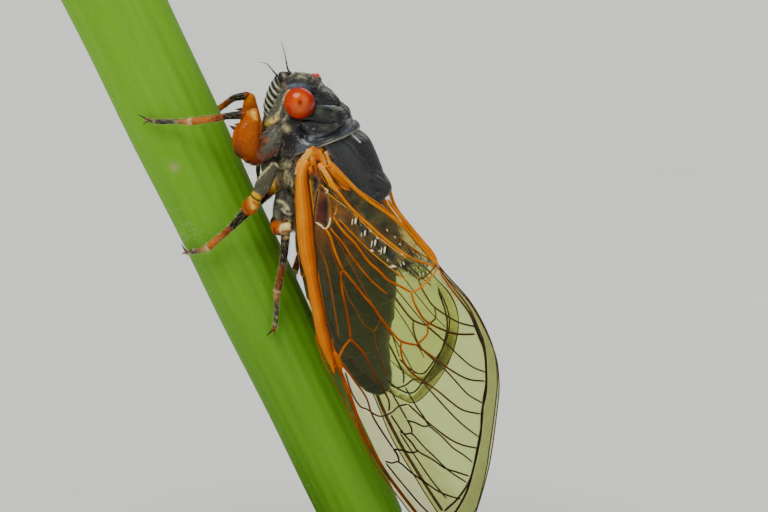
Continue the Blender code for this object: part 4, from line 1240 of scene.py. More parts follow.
def build_abdomen():
    rows, sides = 420, 220
    stations = (
        (-3.2, 0, -1.1, 4.3, 3.2, 2.8),
        (-3.6, 0, -1.1, 4.85, 3.6, 3.1),
        (-5.5, 0, -1.4, 5.4, 3.7, 3.2),
        (-8.5, 0, -1.75, 5.0, 3.75, 3.2),
        (-11.5, 0, -2.0, 4.1, 3.55, 3.3),
        (-13.5, 0, -2.1, 3.3, 3.3, 3.15),
        (-15.5, 0, -2.2, 2.3, 2.7, 2.6),
        (-17.6, 0, -2.2, 1.7, 2.0, 1.9),
        (-19.2, 0, -2.1, 1.2, 1.4, 1.1),
        (-19.95, 0, -2.1, 0.35, 0.45, 0.35),
    )
    points, faces = capped(lofted(stations, rows, sides))
    faces, normal = outward(points, faces, (points + 2) * (0, 0, 1))
    x, y, z = points.T
    joints = np.array((-3.3, -5.3, -7.4, -9.6, -11.8, -13.8, -15.6, -17.2, -18.7))
    which = np.clip(np.searchsorted(-joints, -x) - 1, 0, len(joints) - 1)
    start = joints[which]
    end = np.append(joints, -20.2)[which + 1]
    part = np.clip((start - x) / (start - end), 0, 1)
    size = np.interp(x, (-20, -17, -12), (0.3, 0.6, 1.0))
    height = size * (0.16 * part**1.5 - 0.1 * step(0.93, 1.0, part))
    height += 0.02 * waves(points, 0.8, 61) + 0.008 * np.sin(x * 40) * size
    fold = step(-2.6, -3.0, z) * step(-4.4, -3.8, z) * bell(np.abs(y), 2.6, 0.25)
    height -= 0.25 * fold * size
    points = points + normal * height[:, None]
    tint = plain((0.012, 0.012, 0.012), points)
    under = step(-3.9, -4.3, z) * step(-19, -17, x)
    tint = painted(
        tint,
        (under * 0.6, (0.1, 0.05, 0.02)),
        (step(0.72, 0.9, part) * under, AMBER),
        (step(0.85, 0.97, part) * (1 - under) * 0.5, (0.1, 0.055, 0.02)),
        (step(0.2, 1.1, waves(points, 1.4, 62)) * 0.4 * (1 - under), (0.03, 0.03, 0.026)),
    )
    piece("abdomen_shell", points, faces, "shell", "shell_black", ["abdomen"], tint=tint,
          dust=np.full(len(points), 0.12))
    coat("abdomen_down", points, all_normals(points, faces), (x < -3.6) * 1.0, 2200,
        (-1.0, 0.0, 0.0), 0.3,
         0.006, (0.3, 0.28, 0.2), 46, "shell_black", 0.3)


# Legs


def build_leg(leg, word):
    parts = LEGS.get(f"{leg}_{word}", LEGS[leg])
    shapes, paths = [], []
    for segment in SEGMENTS:
        path = smooth(np.column_stack(parts[segment]), 8)
        grid = round_tube(path[:, :3], path[:, 3], 24)
        if segment == "tarsus":
            ripple = 1 - 0.16 * (np.abs(np.sin(np.linspace(0, 3 * math.pi, len(grid)))) < 0.35)
            middle = grid.mean(1, keepdims=True)
            grid = middle + (grid - middle) * ripple[:, None, None]
        shapes.append(grid)
        paths.append(path)
    for a, b in zip(paths, paths[1:]):
        link = np.vstack([a[-2, :3], (a[-1, :3] + b[0, :3]) / 2, b[1, :3]])
        size = min(a[-1, 3], b[0, 3])
        shapes.append(round_tube(link, (size * 0.8, size * 0.95, size * 0.8), 20))
    if leg == "mid":
        shapes.append(ball_points((0.5, 5.1, -6.5), (0.72, 0.62, 0.72)))
    if leg == "hind":
        flank = ((-0.3, 3.2, -3.5), (-1.2, 3.55, -3.72), (-2.0, 3.55, -3.98), (-2.5, 3.5, -4.1))
        shapes.append(round_tube(flank, (0.55, 0.64, 0.55, 0.38), 24))
        shapes.append(ball_points((-2.32, 4.95, -4.04), (0.52, 0.5, 0.52)))
    points, faces = fused(shapes, 0.062, 3)
    normal = all_normals(points, faces)
    best = np.full(len(points), 1e9)
    tint = np.zeros((len(points), 3))
    along = np.zeros(len(points))
    for index, (segment, path) in enumerate(zip(SEGMENTS, paths)):
        gap, t = to_line(points, path[:, :3])
        gap = gap / np.interp(t, np.linspace(0, 1, len(path)), path[:, 3])
        mine = gap < best
        best[mine] = gap[mine]
        tint[mine] = leg_tint(leg, segment, t[mine], points[mine])
        along[mine] = index + t[mine]
    view = side_view(points)
    patch = step(-0.9, 0.0, waves(points, 0.3, 73))
    for line, width, colour in LEG_MARKS[leg]:
        tint = painted(tint, (stroke(view, line, width) * patch, colour))
    rough = 0.012 * waves(points, 0.3, 71) + 0.008 * waves(points, 0.15, 72)
    points = points + normal * rough[:, None]
    dust = np.where(along < 1, 0.6, np.where(along > 3, 0.4, 0.02))
    piece(f"{leg}_{word}_leg", *sided(word, points, faces), "leg", "leg_amber",
          [f"{leg}_{word}_{segment}" for segment in SEGMENTS], tint=tint, dust=dust)
    build_claws(leg, word, parts)
    build_bristles(leg, word, points, normal, along, np.vstack(paths)[:, :3])


def build_claws(leg, word, parts):
    """Claws, the spurs around the shin's end, and the thorns of the front thigh."""
    sharp = []
    tip, spread = (np.array(p) for p in parts["claws"])
    foot = np.array(parts["tarsus"][0])
    heel = foot[-1]

    def tone(points):
        far = step(0.0, 0.7, np.linalg.norm(points - heel, axis=1))
        return painted(plain(RUST, points), (far, PITCH))

    for way in (1, -1):
        bend = heel + (tip - heel) * 0.35 + spread * way * 0.3
        claw = smooth((heel * 0.7 + foot[-2] * 0.3, bend, tip + spread * way), 8)
        width = np.interp(np.linspace(0, 1, len(claw)), (0, 0.4, 1), (0.13, 0.12, 0.02))
        sharp.append(bar(round_tube(claw, width, 10), tone))
    if leg == "front":
        femur = np.array(parts["femur"][0])
        reach = [np.array(v) for v in parts["spines"]]
        for root, way, size in (
            (femur[2], reach[0], 0.34), (femur[3], reach[1], 0.27),
            ((femur[3] + femur[4]) / 2, reach[1] * 0.5, 0.15),
        ):
            thorn = smooth((root + way * 0.3, root + way * 0.7, root + way * 1.0), 6)
            width = np.interp(np.linspace(0, 1, len(thorn)), (0, 0.5, 1), (size, size * 0.55, 0.03))
            sharp.append(bar(round_tube(thorn, width, 12), PITCH))
    tibia = np.array(parts["tibia"][0])
    shin = tibia[-1]
    down = unit(tibia[-1] - tibia[-2])
    side = unit(np.cross(down, (0, 1, 0.2)))
    for k in range(5):
        a = math.tau * k / 5
        out = side * math.cos(a) + np.cross(down, side) * math.sin(a)
        spur = [shin + down * low + out * wide for low, wide in
                ((-0.1, 0.22), (0.15, 0.34), (0.36, 0.38))]
        sharp.append(bar(round_tube(spur, (0.07, 0.05, 0.012), 8), (0.55, 0.33, 0.12)))
    points, faces, values = joined(sharp)
    piece(f"{leg}_{word}_claws", *sided(word, points, faces), "claw", "leg_dark", **values)


def build_bristles(leg, word, points, normal, along, path):
    """Bristles on a leg, more of them towards its foot."""
    rng = np.random.default_rng(700 + len(points))
    femur = 0.0 if leg == "front" else 0.12
    chance = np.select([along > 2.6, along > 2, along > 1], (2.2, 1.3, femur), 0.7)
    picked = rng.choice(len(points), BRISTLES, replace=False, p=chance / chance.sum())
    root, out = points[picked], normal[picked]
    ahead = np.gradient(path, axis=0)
    last = len(path) - 1
    where = np.clip((to_line(root, path)[1] * last).astype(int), 0, last)
    way = unit(ahead[where]) + out * rng.uniform(0.4, 0.9, BRISTLES)[:, None]
    way = way + rng.normal(size=(BRISTLES, 3)) * 0.15
    around = np.arctan2(out[:, 1], out[:, 2]) / math.tau * 0.95 + 0.5
    unwrap = np.stack([along[picked] / 4.2 + 0.01, around], 1)
    tints = plain((0.6, 0.5, 0.3), root) * rng.uniform(0.6, 1.2, (BRISTLES, 1))
    lengths = rng.uniform(0.18, 0.42, BRISTLES)
    if word == "right":
        root, way = mirrored(root), mirrored(way)
    hairs(f"{leg}_{word}_bristles", root, way, lengths, 0.0085, tints, unwrap, "leg_amber")


def leg_tint(leg, segment, t, points):
    """Bands of colour along a leg segment, t from its body end to its far end."""
    base = {"coxa": (0.04, 0.036, 0.028), "femur": (0.43, 0.085, 0.0), "tibia": (0.24, 0.04, 0.0),
        "tarsus": PITCH}[segment]
    tint = plain(base, t)
    if segment == "coxa":
        tint = painted(tint, (step(0.3, 0.9, waves(points, 0.6, 82)) * 0.5, ASH))
    if segment == "femur":
        if leg == "front":
            tint = painted(
                tint,
                (step(0.3, 1.0, waves(points, 1.4, 83)) * 0.35, RUST),
                (step(0.26, 0.1, t) * 0.75, RUST),
                (step(0.12, 0.0, t) * 0.85, UMBER),
                (step(0.85, 1.0, t) * 0.4, HONEY),
            )
        elif leg == "mid":
            tint = painted(
                plain((0.085, 0.08, 0.05), t),
                (step(0.0, 0.8, waves(points, 0.5, 84)) * 0.4, ASH),
                (step(0.55, 0.62, t), YELLOW),
                (bell(t, 0.74, 0.035), PITCH),
                (step(0.78, 0.84, t), (0.46, 0.1, 0.0)),
            )
        else:
            tint = painted(
                tint,
                (step(0.65, 0.9, t), (0.85, 0.66, 0.24)),
                (step(0.25, 0.0, t), PITCH),
            )
    if segment == "tibia":
        tint = painted(tint, (step(0.5, 0.36, t) * step(0.0, 0.08, t), PITCH))
        if leg == "mid":
            tint = painted(tint, (step(0.09, 0.03, t), (0.46, 0.1, 0.0)))
        if leg == "hind":
            tint = painted(
                tint,
                (step(0.5, 1.0, t) * 0.4, UMBER),
                (step(0.06, 0.0, t), (0.85, 0.66, 0.24)),
            )
        else:
            tint = painted(tint, (step(0.55, 0.8, t) * 0.8, AMBER))
        tint = painted(tint, (step(0.96, 1.0, t), CREAM))
    if segment == "tarsus":
        tint = painted(
            tint,
            (step(0.3, 0.0, t), AMBER),
            (step(0.1, 0.8, waves(points, 0.35, 85)) * 0.7, (0.45, 0.33, 0.12)),
        )
    return tint


# Wings


def ripeness(level):
    """Vein colour: pale at -0.5, yellow-orange at 0, orange, brown and nearly black at 1."""
    stops = np.array(((0.92, 0.86, 0.62), HONEY, AMBER, RUST, UMBER, PITCH))
    at = np.interp(level, (-0.5, 0.0, 0.2, 0.45, 0.7, 1.0), (0, 1, 2, 3, 4, 5))
    return np.stack([np.interp(at, np.arange(len(stops)), stops[:, k]) for k in range(3)], 1)


def strip(path, wide, thick, inset=0.0, sides=10):
    """Grid of a low rounded bar along side-view points on the wing, with half widths in mm."""
    view = resampled(smooth(path, 6), 2.2)
    run = np.linspace(0, 1, len(view))
    centre, normal = wing_point(wing_plane(view), inset)
    side = unit(np.cross(normal, unit(np.gradient(centre, axis=0))))
    half = np.interp(run, np.linspace(0, 1, len(wide)), wide)
    tall = np.interp(run, np.linspace(0, 1, len(thick)), thick)
    ends = np.ones(len(view))
    ends[0], ends[-1] = 0.5, 0.5
    a = circle(sides)[None, :, None]
    grid = (
        centre[:, None] + side[:, None] * np.cos(a) * (half * ends)[:, None, None]
        + normal[:, None] * np.sin(a) * (tall * ends)[:, None, None]
    )
    return grid, run


def run_tint(level, grid, wave=lambda points, level: level):
    """Vein colours of a bar from a level for each of its rings, with waves added."""
    level = np.append(np.repeat(level, grid.shape[1]), (level[0], level[-1]))
    return lambda points: ripeness(wave(points, level))


def vein_set(veins, inset):
    parts = []
    for wide_a, wide_b, dark_a, dark_b, path in veins.values():
        slim = np.where(np.array((wide_a, wide_b)) > 0.085, 0.84, 1.0) * (wide_a, wide_b)
        grid, run = strip(path, slim, slim * 0.8, inset)
        level = dark_a + (dark_b - dark_a) * run**1.3
        parts.append(bar(grid, run_tint(level, grid, lambda p,
            v: v + 0.05 + 0.09 * waves(p, 0.8, 91))))
    return parts


def closed(line):
    return np.vstack([line, line[:1]])


def membrane(outline, inset, spacing):
    """Points, normals and faces of a wing blade as one sheet."""
    edge = wing_plane(smooth(closed(outline), 8)[:-1])
    edge = resampled(closed(edge), spacing)[:-1]
    low, high = edge.min(0), edge.max(0)
    xs = np.arange(low[0], high[0], spacing)
    zs = np.arange(low[1], high[1], spacing * 0.866)
    gx, gz = np.meshgrid(xs, zs)
    gx = gx + (np.arange(len(zs)) % 2)[:, None] * spacing / 2
    inner = np.stack([gx.ravel(), gz.ravel()], 1)
    inner = inner[within(inner, edge)]
    inner = inner[to_line(inner, closed(edge))[0] > spacing * 0.5]
    points = np.vstack([edge, inner])
    links = [(k, (k + 1) % len(edge)) for k in range(len(edge))]
    flat, _, faces, *_ = delaunay_2d_cdt([Vector(p) for p in points], links, [], 1, 1e-5)
    flat = np.array([tuple(v) for v in flat])
    faces = np.array(faces)
    faces = faces[within(flat[faces].mean(1), edge)]
    return *wing_point(flat, inset), faces


def within(points, outline):
    odd = np.zeros(len(points), bool)
    for a, b in zip(outline, np.roll(outline, -1, 0)):
        if a[1] == b[1]:
            continue
        crosses = (a[1] > points[:, 1]) != (b[1] > points[:, 1])
        odd ^= crosses & (points[:, 0] < a[0] + (points[:,
            1] - a[1]) / (b[1] - a[1]) * (b[0] - a[0]))
    return odd


def vein_gap(view, veins):
    """Side-view distance from the nearest vein."""
    return nearest(view, [smooth(path, 3) for *_, path in veins.values()])


def build_forewing():
    place, normal, faces = membrane(FORE_OUTLINE, 0.0, 0.24)
    view = side_view(place)
    gap = vein_gap(view, FORE_VEINS)
    puff = 0.06 * (1 - bell(gap, 0, 6)) + 0.025 * waves(place, 2.2, 101) * (1 - bell(gap, 0, 4))
    claval = step(9, 3, np.abs(to_line(view, ((350, 212), (375, 236), (400, 256),
        (426, 272)))[0] - 3))
    puff = puff + claval * 0.1 * waves(place, 0.9, 102)
    place = place + normal * puff[:, None]
    margin = to_line(view, smooth(AMBIENT, 3))[0]
    border = margin_side(view) * step(0.0, 2.0, margin)
    base = step(300, 215, view[:, 1] + 0.25 * (view[:, 0] - 330))
    grown = {
        "tint": plain((0.2, 0.24, 0.05), place),
        "stain": plain((0.8, 0.87, 0.52), place),
        "veil": np.full(len(place), 0.028),
    }

    def stained(mask, tint, stain, veil):
        grown["tint"] = painted(grown["tint"], (mask, tint))
        grown["stain"] = painted(grown["stain"], (mask, stain))
        grown["veil"] = grown["veil"] + mask * veil

    stained(border, (0.22, 0.25, 0.06), (0.62, 0.66, 0.36), 0.09)
    leading = to_line(view, ((333, 366), (352, 402), (375, 442), (400, 480), (430, 522)))[0]
    stained(step(30, 5, leading) * step(350, 395, view[:, 1]), (0.24, 0.2, 0.05),
        (0.68, 0.71, 0.38), 0.08)
    stained(base, (0.36, 0.12, 0.015), (0.62, 0.4, 0.13), 0.09)
    stained(
        base * step(-0.3, 0.9, waves(place, 1.1, 105)),
        (0.44, 0.16, 0.02), (0.66, 0.44, 0.15), 0.2,
    )
    for outline, soft, tint, veil in (
        (
            (
                (341, 191), (356, 188.5), (371, 200), (394, 221.6), (405, 238), (397, 240),
                (368, 222), (349, 201),
            ),
            3.0, (0.06, 0.062, 0.018), 0.42,
        ),
        (
            (
                (331, 190), (345, 206), (368, 229), (394, 250), (406, 257), (402, 262), (380, 247),
                (356, 226), (338, 207),
            ),
            2.0, (0.2, 0.085, 0.012), 0.45,
        ),
        (
            (
                (347, 207), (356, 209), (380, 231), (404, 253), (428, 268), (421, 279), (401, 271),
                (378, 254), (358, 235),
            ),
            4.0, (0.02, 0.028, 0.012), 0.45,
        ),
        (
            (
                (339, 211), (352, 224), (368, 240), (382, 254), (398, 268), (406, 279), (392, 268),
                (368, 249), (350, 232), (338, 219),
            ),
            3.0, (0.2, 0.16, 0.05), 0.22,
        ),
        (
            ((327, 165), (336, 167), (350, 179), (356, 188), (341, 189), (329, 179)),
            2.0, (0.36, 0.085, 0.0), 0.9,
        ),
        (
            ((318, 190), (330, 196), (330.4, 216), (327, 227), (315, 223), (315, 207)),
            1.2, (0.1, 0.006, 0.004), 0.85,
        ),
        (((324, 196), (330, 197), (330, 216), (327, 227), (323, 226)), 1.6, PITCH, 0.1),
        (((312, 176), (319, 174), (319, 192), (315, 212), (312.5, 212)), 1.5, BLACK, 0.95),
        (((318, 164), (324.5, 164), (324, 177), (319, 180)), 1.2, PITCH, 0.9),
    ):
        ring = np.array(outline)
        away = to_line(view, closed(ring))[0] * np.where(within(view, ring), 1, -1)
        stained(step(-soft / 2, soft, away) * (1 - 0.6 * step(-0.2, 0.9, waves(place, 0.6, 104))),
            tint, tint, veil)
    root = step(22, 12, np.linalg.norm(view - (320, 158), axis=1))
    stained(root, (0.36, 0.09, 0.0), (0.5, 0.2, 0.02), 0.9)
    stained(
        root * step(0.1, 0.7, waves(place, 0.5, 103)),
        (0.05, 0.008, 0.004), (0.2, 0.05, 0.01), 0.3,
    )
    stained(bell(gap, 0, 1.6), (0.3, 0.2, 0.04), (0.8, 0.75, 0.5), 0.06)
    grown["veil"] = np.clip(grown["veil"], 0.02, 0.97)
    grown["crimp"] = 0.3 + 2.2 * claval
    add_wings("fore", place, faces, grown, vein_set(FORE_VEINS, 0.0) + fore_bars())


def margin_side(view):
    """1 on the outer side of the fore wing's marginal vein."""
    ring = np.vstack([smooth(AMBIENT, 3), (470, 600), (620, 560), (620, 250), (438, 262)])
    return within(view, ring).astype(float)


def fore_bars():
    """Front edge, hinge arm, cords, rim, and painted glints and shadows on the clavus wrinkles."""
    parts = []
    outer = np.array(((303.5, 158.5), (297, 168.5), (294.5, 178), (294, 188), (295, 204),
        (297, 225), (301, 246), (305.5, 275),
                      (310.5, 303), (317, 335), (325.5, 359), (333, 376)))
    inner = np.array(((313, 161.5), (309.5, 171), (310, 181), (311.5, 190), (312.6, 202),
        (313.6, 222), (313, 244),
                      (318, 275), (323, 303), (330.5, 337), (335.5, 356), (337, 372)))
    half = np.linalg.norm(outer - inner, axis=1) / 2 / UNITS_PER_MM
    half[-1] = 0.12
    tall = np.interp(np.linspace(0, 1, len(half)), (0, 0.1, 0.7, 1), (0.45, 0.42, 0.3, 0.1))
    sides = 36
    grid, run = strip((outer + inner) / 2, half, tall, sides=sides)
    angle = circle(sides)[None, :]
    front = side_view(grid[20])[0, 0] < side_view(grid[20])[sides // 2, 0]
    to_front = np.cos(angle) * (1 if front else -1)
    level = 0.18 + 0.08 * step(0.7, 1.0, run)[:, None] + 0.18 * step(-0.05, -0.5, to_front)
    shine = 0.13 - 0.07 * step(0.2, 0.45, run)[:, None]
    level = level - shine * bell(to_front, 0.35, 0.35) + 0.35 * step(-0.6, -0.95, to_front)
    level = level - 0.1 * step(0.16, 0.0, run)[:, None] + 0.06 * np.sin(angle * 13 + 2 * run[:,
        None])
    level = np.append(level.ravel(), (0.2, 0.3))
    parts.append(bar(grid, lambda p: ripeness(level + 0.03 * waves(p, 0.7, 92))))
    cords = [
        (
            (
                (326, 151.5), (326.5, 157.5), (331, 164.5), (336.5, 170), (344, 177.5),
                (354, 187.5), (364, 196.5), (374, 204), (384, 210.5), (393, 217), (402, 224.5),
                (411, 233.5), (422, 247), (431, 258), (437, 265),
            ),
            (0.12, 0.26, 0.2, 0.17, 0.16, 0.17, 0.18, 0.16, 0.15, 0.13), (0.18, 0.16, 0.13, 0.13),
            0.1,
        ),
        (
            ((387, 199), (395, 209), (404, 220), (412, 230), (424, 246), (433, 256), (438, 265)),
            (0.12, 0.14, 0.15, 0.15, 0.14, 0.12), (0.1, 0.16, 0.12), 0.14,
        ),
        (
            ((325, 167), (334, 174), (343, 182), (350, 189)),
            (0.33, 0.34, 0.2, 0.05), (0.16, 0.14, 0.06), 0.24,
        ),
        (((328, 180), (334, 183.5), (340, 187), (351, 190)), (0.22, 0.2, 0.08), (0.12, 0.06), 0.2),
        (((387, 202), (394, 211.5), (402, 222)), (0.05, 0.07, 0.04), (0.06, 0.06), -0.35),
        (
            ((319, 163), (323.5, 170), (327.5, 177.5), (333, 186), (338, 191.5)),
            (0.22, 0.36, 0.42, 0.3, 0.12), (0.28, 0.34, 0.3, 0.14), -0.02,
        ),
        (((320, 168.5), (323.5, 176), (328.5, 185)), (0.07, 0.09, 0.06), (0.3, 0.42, 0.26), 0.9),
        (
            ((325, 166), (331, 175), (338, 184.5), (345, 191)),
            (0.06, 0.08, 0.05), (0.3, 0.32, 0.12), 0.7,
        ),
        (((324.5, 188), (328, 190.5), (325.5, 193.5)), (0.05, 0.07, 0.05), (0.12,), -0.4),
        (((333.5, 351), (338, 360), (341.5, 370)), (0.16, 0.27, 0.14), (0.16, 0.27, 0.14), 0.3),
        (((315.5, 222.2), (319, 224.2), (323.5, 227)), (0.07, 0.09, 0.07), (0.12, 0.12), -0.35),
    ]
    # Pale bars painted as glints on the wrinkles by the clavus, each with a dark bar beside it as
    # painted shadow
    for x, y, lean, size in (
        (347.5, 213, 95, 3), (349.5, 207, 70, 2.2), (355.6, 221, 98, 6.5), (361, 226, 60, 2.6),
        (364.8, 232.5, 95, 7), (371, 231, 30, 3.0), (375, 243, 100, 7), (377.5, 238, 40, 3.0),
        (384.6, 250, 98, 7), (380, 251, 20, 3.2), (372, 250.5, 15, 3.4), (394, 266, 15, 5.5),
        (391, 259, 100, 4), (404, 264, 65, 5.5), (408, 272, 120, 4.5), (402, 254, 45, 2.6),
        (416, 268, 100, 3.4), (423, 273.5, 70, 4.5), (413, 252, 40, 2.6), (400, 244, 45, 2.2),
        (395, 237, 50, 2.2), (387, 230, 50, 2.6), (382, 224, 50, 1.8),
    ):
        way = np.array((math.cos(math.radians(lean)), math.sin(math.radians(lean)))) * size / 2
        for shift, wide, level in ((0.0, 0.09, -0.5), (2.6, 0.07, 0.9), (-3.4, 0.05, -0.4)):
            if shift < 0 and size < 4:
                continue
            spot = np.array((x + shift, y - shift / 4))
            cords.append(((spot - way, spot - way / 3, spot + way / 3, spot + way), (wide,),
                (0.07,), level))
    for path, wide, tall, shade in cords:
        grid, _ = strip(path, wide, tall, sides=16)
        parts.append(bar(grid, lambda p: ripeness(shade + 0.05 * waves(p, 0.6, 93))))
    rim = np.vstack([FORE_OUTLINE[9:], FORE_OUTLINE[:1]])
    grid, run = strip(rim, (0.06,), (0.06,), sides=8)
    edge = np.interp(run, (0, 0.2, 0.35, 0.75, 0.85, 1), (0.3, 0.5, 0.72, 0.72, 0.2, 0.1))
    parts.append(bar(grid, run_tint(edge, grid)))
    return parts


def build_hindwing():
    place, normal, faces = membrane(HIND_OUTLINE, HIND_OFFSET, 0.3)
    view = side_view(place)
    gap = vein_gap(view, HIND_VEINS)
    place = place + normal * (0.05 * (1 - bell(gap, 0, 6)) + 0.03 * waves(place, 2.5, 111))[:, None]
    ambient = smooth(HIND_VEINS["ambient"][4], 3)
    margin = to_line(view, ambient)[0]
    ring = np.vstack([ambient, (386, 420), (440, 440), (500, 400), (500, 290), (437, 270)])
    border = within(view, ring) * step(0.0, 2.5, margin) * (1 - 0.5 * step(4, 11, margin))
    tint = plain((0.42, 0.4, 0.16), place)
    stain = plain((0.92, 0.92, 0.74), place)
    veil = np.full(len(place), 0.025)
    # The border darker towards its lower end
    lower_part = step(320, 352, view[:, 1])
    tint = painted(
        tint,
        (border, (0.24, 0.17, 0.04)),
        (border * lower_part, (0.1, 0.075, 0.02)),
    )
    stain = painted(
        stain,
        (border, (0.82, 0.79, 0.5)),
        (border * lower_part, (0.5, 0.46, 0.22)),
    )
    veil = veil + border * (0.04 + 0.36 * lower_part)
    base = step(260, 215, view[:, 1])
    tint = painted(tint, (base, (0.5, 0.2, 0.03)))
    veil = veil + base * 0.06
    grown = {"tint": tint, "stain": stain, "veil": veil, "crimp": np.full(len(place), 0.3)}
    veins = vein_set(HIND_VEINS, HIND_OFFSET)
    rim = closed(HIND_OUTLINE)
    grid, run = strip(rim, (0.045,), (0.045,), HIND_OFFSET, sides=8)
    veins.append(bar(grid, run_tint(np.full(len(run), 0.6), grid)))
    add_wings("hind", place, faces, grown, veins)


def tucked(points):
    """Wing points with the upper margin a little lower, so the right pair lies below the left."""
    low, high, _, _ = wing_edges(points[:, 0])
    near = step(0.6, 1.0, (points[:, 2] - low) / (high - low))
    drop = 0.4 + 0.9 * bell(points[:, 0], -4.6, 2.6)
    blade = np.clip((points[:, 0] + 34) / 6, 0, 1)
    return points - (drop * blade * near)[:, None] * (0, 0, 1)


def add_wings(kind, place, faces, grown, veins):
    """The left and right wings of a kind, each as a film and its veins."""
    points, vein_faces, values = joined(veins)
    for word in SIDES:
        name, slot = f"{kind}wing_{word}", f"wing_{kind}"
        if word == "right":
            place, points = tucked(place), tucked(points)
        blade = sided(word, place, turned([faces]))
        piece(f"{name}_film", *blade, kind, slot, [name], **grown)
        piece(f"{name}_veins", *sided(word, points, vein_faces), "vein", slot, **values)


def build_hinges():
    """Yellow-orange branches and lumps where the fore wings join the thorax."""
    branches = (
        (((312.5, 149), (307, 155.5), (302.5, 163), (299.5, 172)), (0.3, 0.4, 0.46, 0.44), -0.06),
        (((314, 150), (316, 155), (313, 163), (310, 171.5)), (0.3, 0.4, 0.38, 0.28), 0.16),
        (((318, 151), (321, 157), (323.5, 164), (326, 173)), (0.26, 0.32, 0.34, 0.36), 0.06),
        (((327, 151.5), (325.5, 157), (328, 163.5), (334, 171)), (0.1, 0.3, 0.32, 0.28), 0.02),
        (((311, 154), (318, 155.5), (325, 158)), (0.3, 0.34, 0.26), 0.24),
        (((305, 160), (310, 163), (316, 168)), (0.24, 0.3, 0.22), 0.34),
        (((323, 163), (327, 169), (332, 176)), (0.16, 0.22, 0.14), 0.42),
    )
    lumps = (
        ((308.5, 152), 0.24, -0.3),
        ((304.5, 158), 0.27, -0.3),
        ((301, 165.5), 0.26, -0.3),
        ((306, 165.5), 0.24, 0.3),
        ((311.5, 158.5), 0.24, -0.1),
        ((309, 160), 0.2, 0.5),
        ((316, 152.5), 0.22, -0.1),
        ((316.5, 160), 0.24, 0.45),
        ((320.5, 153), 0.22, 0.0),
        ((319.5, 160.5), 0.22, 0.5),
        ((325.5, 154), 0.2, -0.2),
        ((327.5, 159), 0.2, 0.15),
        ((327, 161), 0.22, -0.2),
        ((330, 166.5), 0.2, 0.3),
        ((313, 172.5), 0.2, 0.4),
        ((309.5, 168.5), 0.22, 0.0),
        ((324, 168), 0.24, -0.25),
        ((300.5, 170.5), 0.22, 0.25),
    )
    shapes, spots = [], []
    for line, radii, level in branches:
        run = smooth(np.column_stack([line, radii]), 6)
        centre, normal = wing_point(wing_plane(run[:, :2]))
        centre = centre + normal * (0.05 - run[:, 2:] * 0.45)
        shapes.append(round_tube(centre, run[:, 2], 18))
        spots += [(at, size, level) for at, size in zip(centre, run[:, 2])]
        if radii[0] > 0.25:
            shapes += [ball_points(at - out * 0.9, (0.45, 0.45, 0.45)) for at,
                out in zip(centre[:8:3], normal[:8:3])]
    for k, (view, size, level) in enumerate(lumps):
        centre, normal = wing_point(wing_plane(np.array([view])))
        at = centre[0] + normal[0] * 0.1
        spots.append((at, size, level))
        shapes.append(ball_points(at, (size * (1.3 - 0.2 * (k % 3)), size * 0.75,
            size * (0.8 + 0.2 * (k % 2)))))
    points, faces = fused(shapes, 0.05, 2)
    normal = all_normals(points, faces)
    points = points + normal * (0.04 * waves(points, 0.4, 121) + 0.02 * waves(points, 0.2, 122))[:,
        None]
    weight = np.stack([np.exp(-((np.linalg.norm(points - at, axis=1) / size) ** 2) * 3) for at,
        size, _ in spots])
    level = (weight * np.array([level for *_, level in spots])[:,
        None]).sum(0) / (weight.sum(0) + 1e-9)
    tint = ripeness(np.maximum(level + 0.14 * waves(points, 0.5, 123), -0.1))
    tint = painted(tint, (step(0.5, 1.0, waves(points, 0.6, 124)) * 0.7, RUST))
    view = side_view(points)
    tint = painted(tint, (stroke(view, ((311, 151), (306, 158), (301.5, 166)), 1.5), YELLOW))
    for line, width in (
        (((317.5, 161), (319, 168), (318, 176)), 1.7), (((310, 156.5), (308, 161)), 0.8),
        (((322.5, 151), (325, 156), (327.5, 164)), 0.9), (((305.5, 168), (304.5, 174)), 0.8),
        (((313, 166), (314, 172)), 1.0),
    ):
        tint = painted(tint, (stroke(view, line, width), (0.09, 0.012, 0.0)))
    for word in SIDES:
        piece(f"hinge_{word}", *sided(word, points, faces), "hinge", "wing_fore",
              tint=tint, dust=np.full(len(points), 0.1))


# Stem and stand


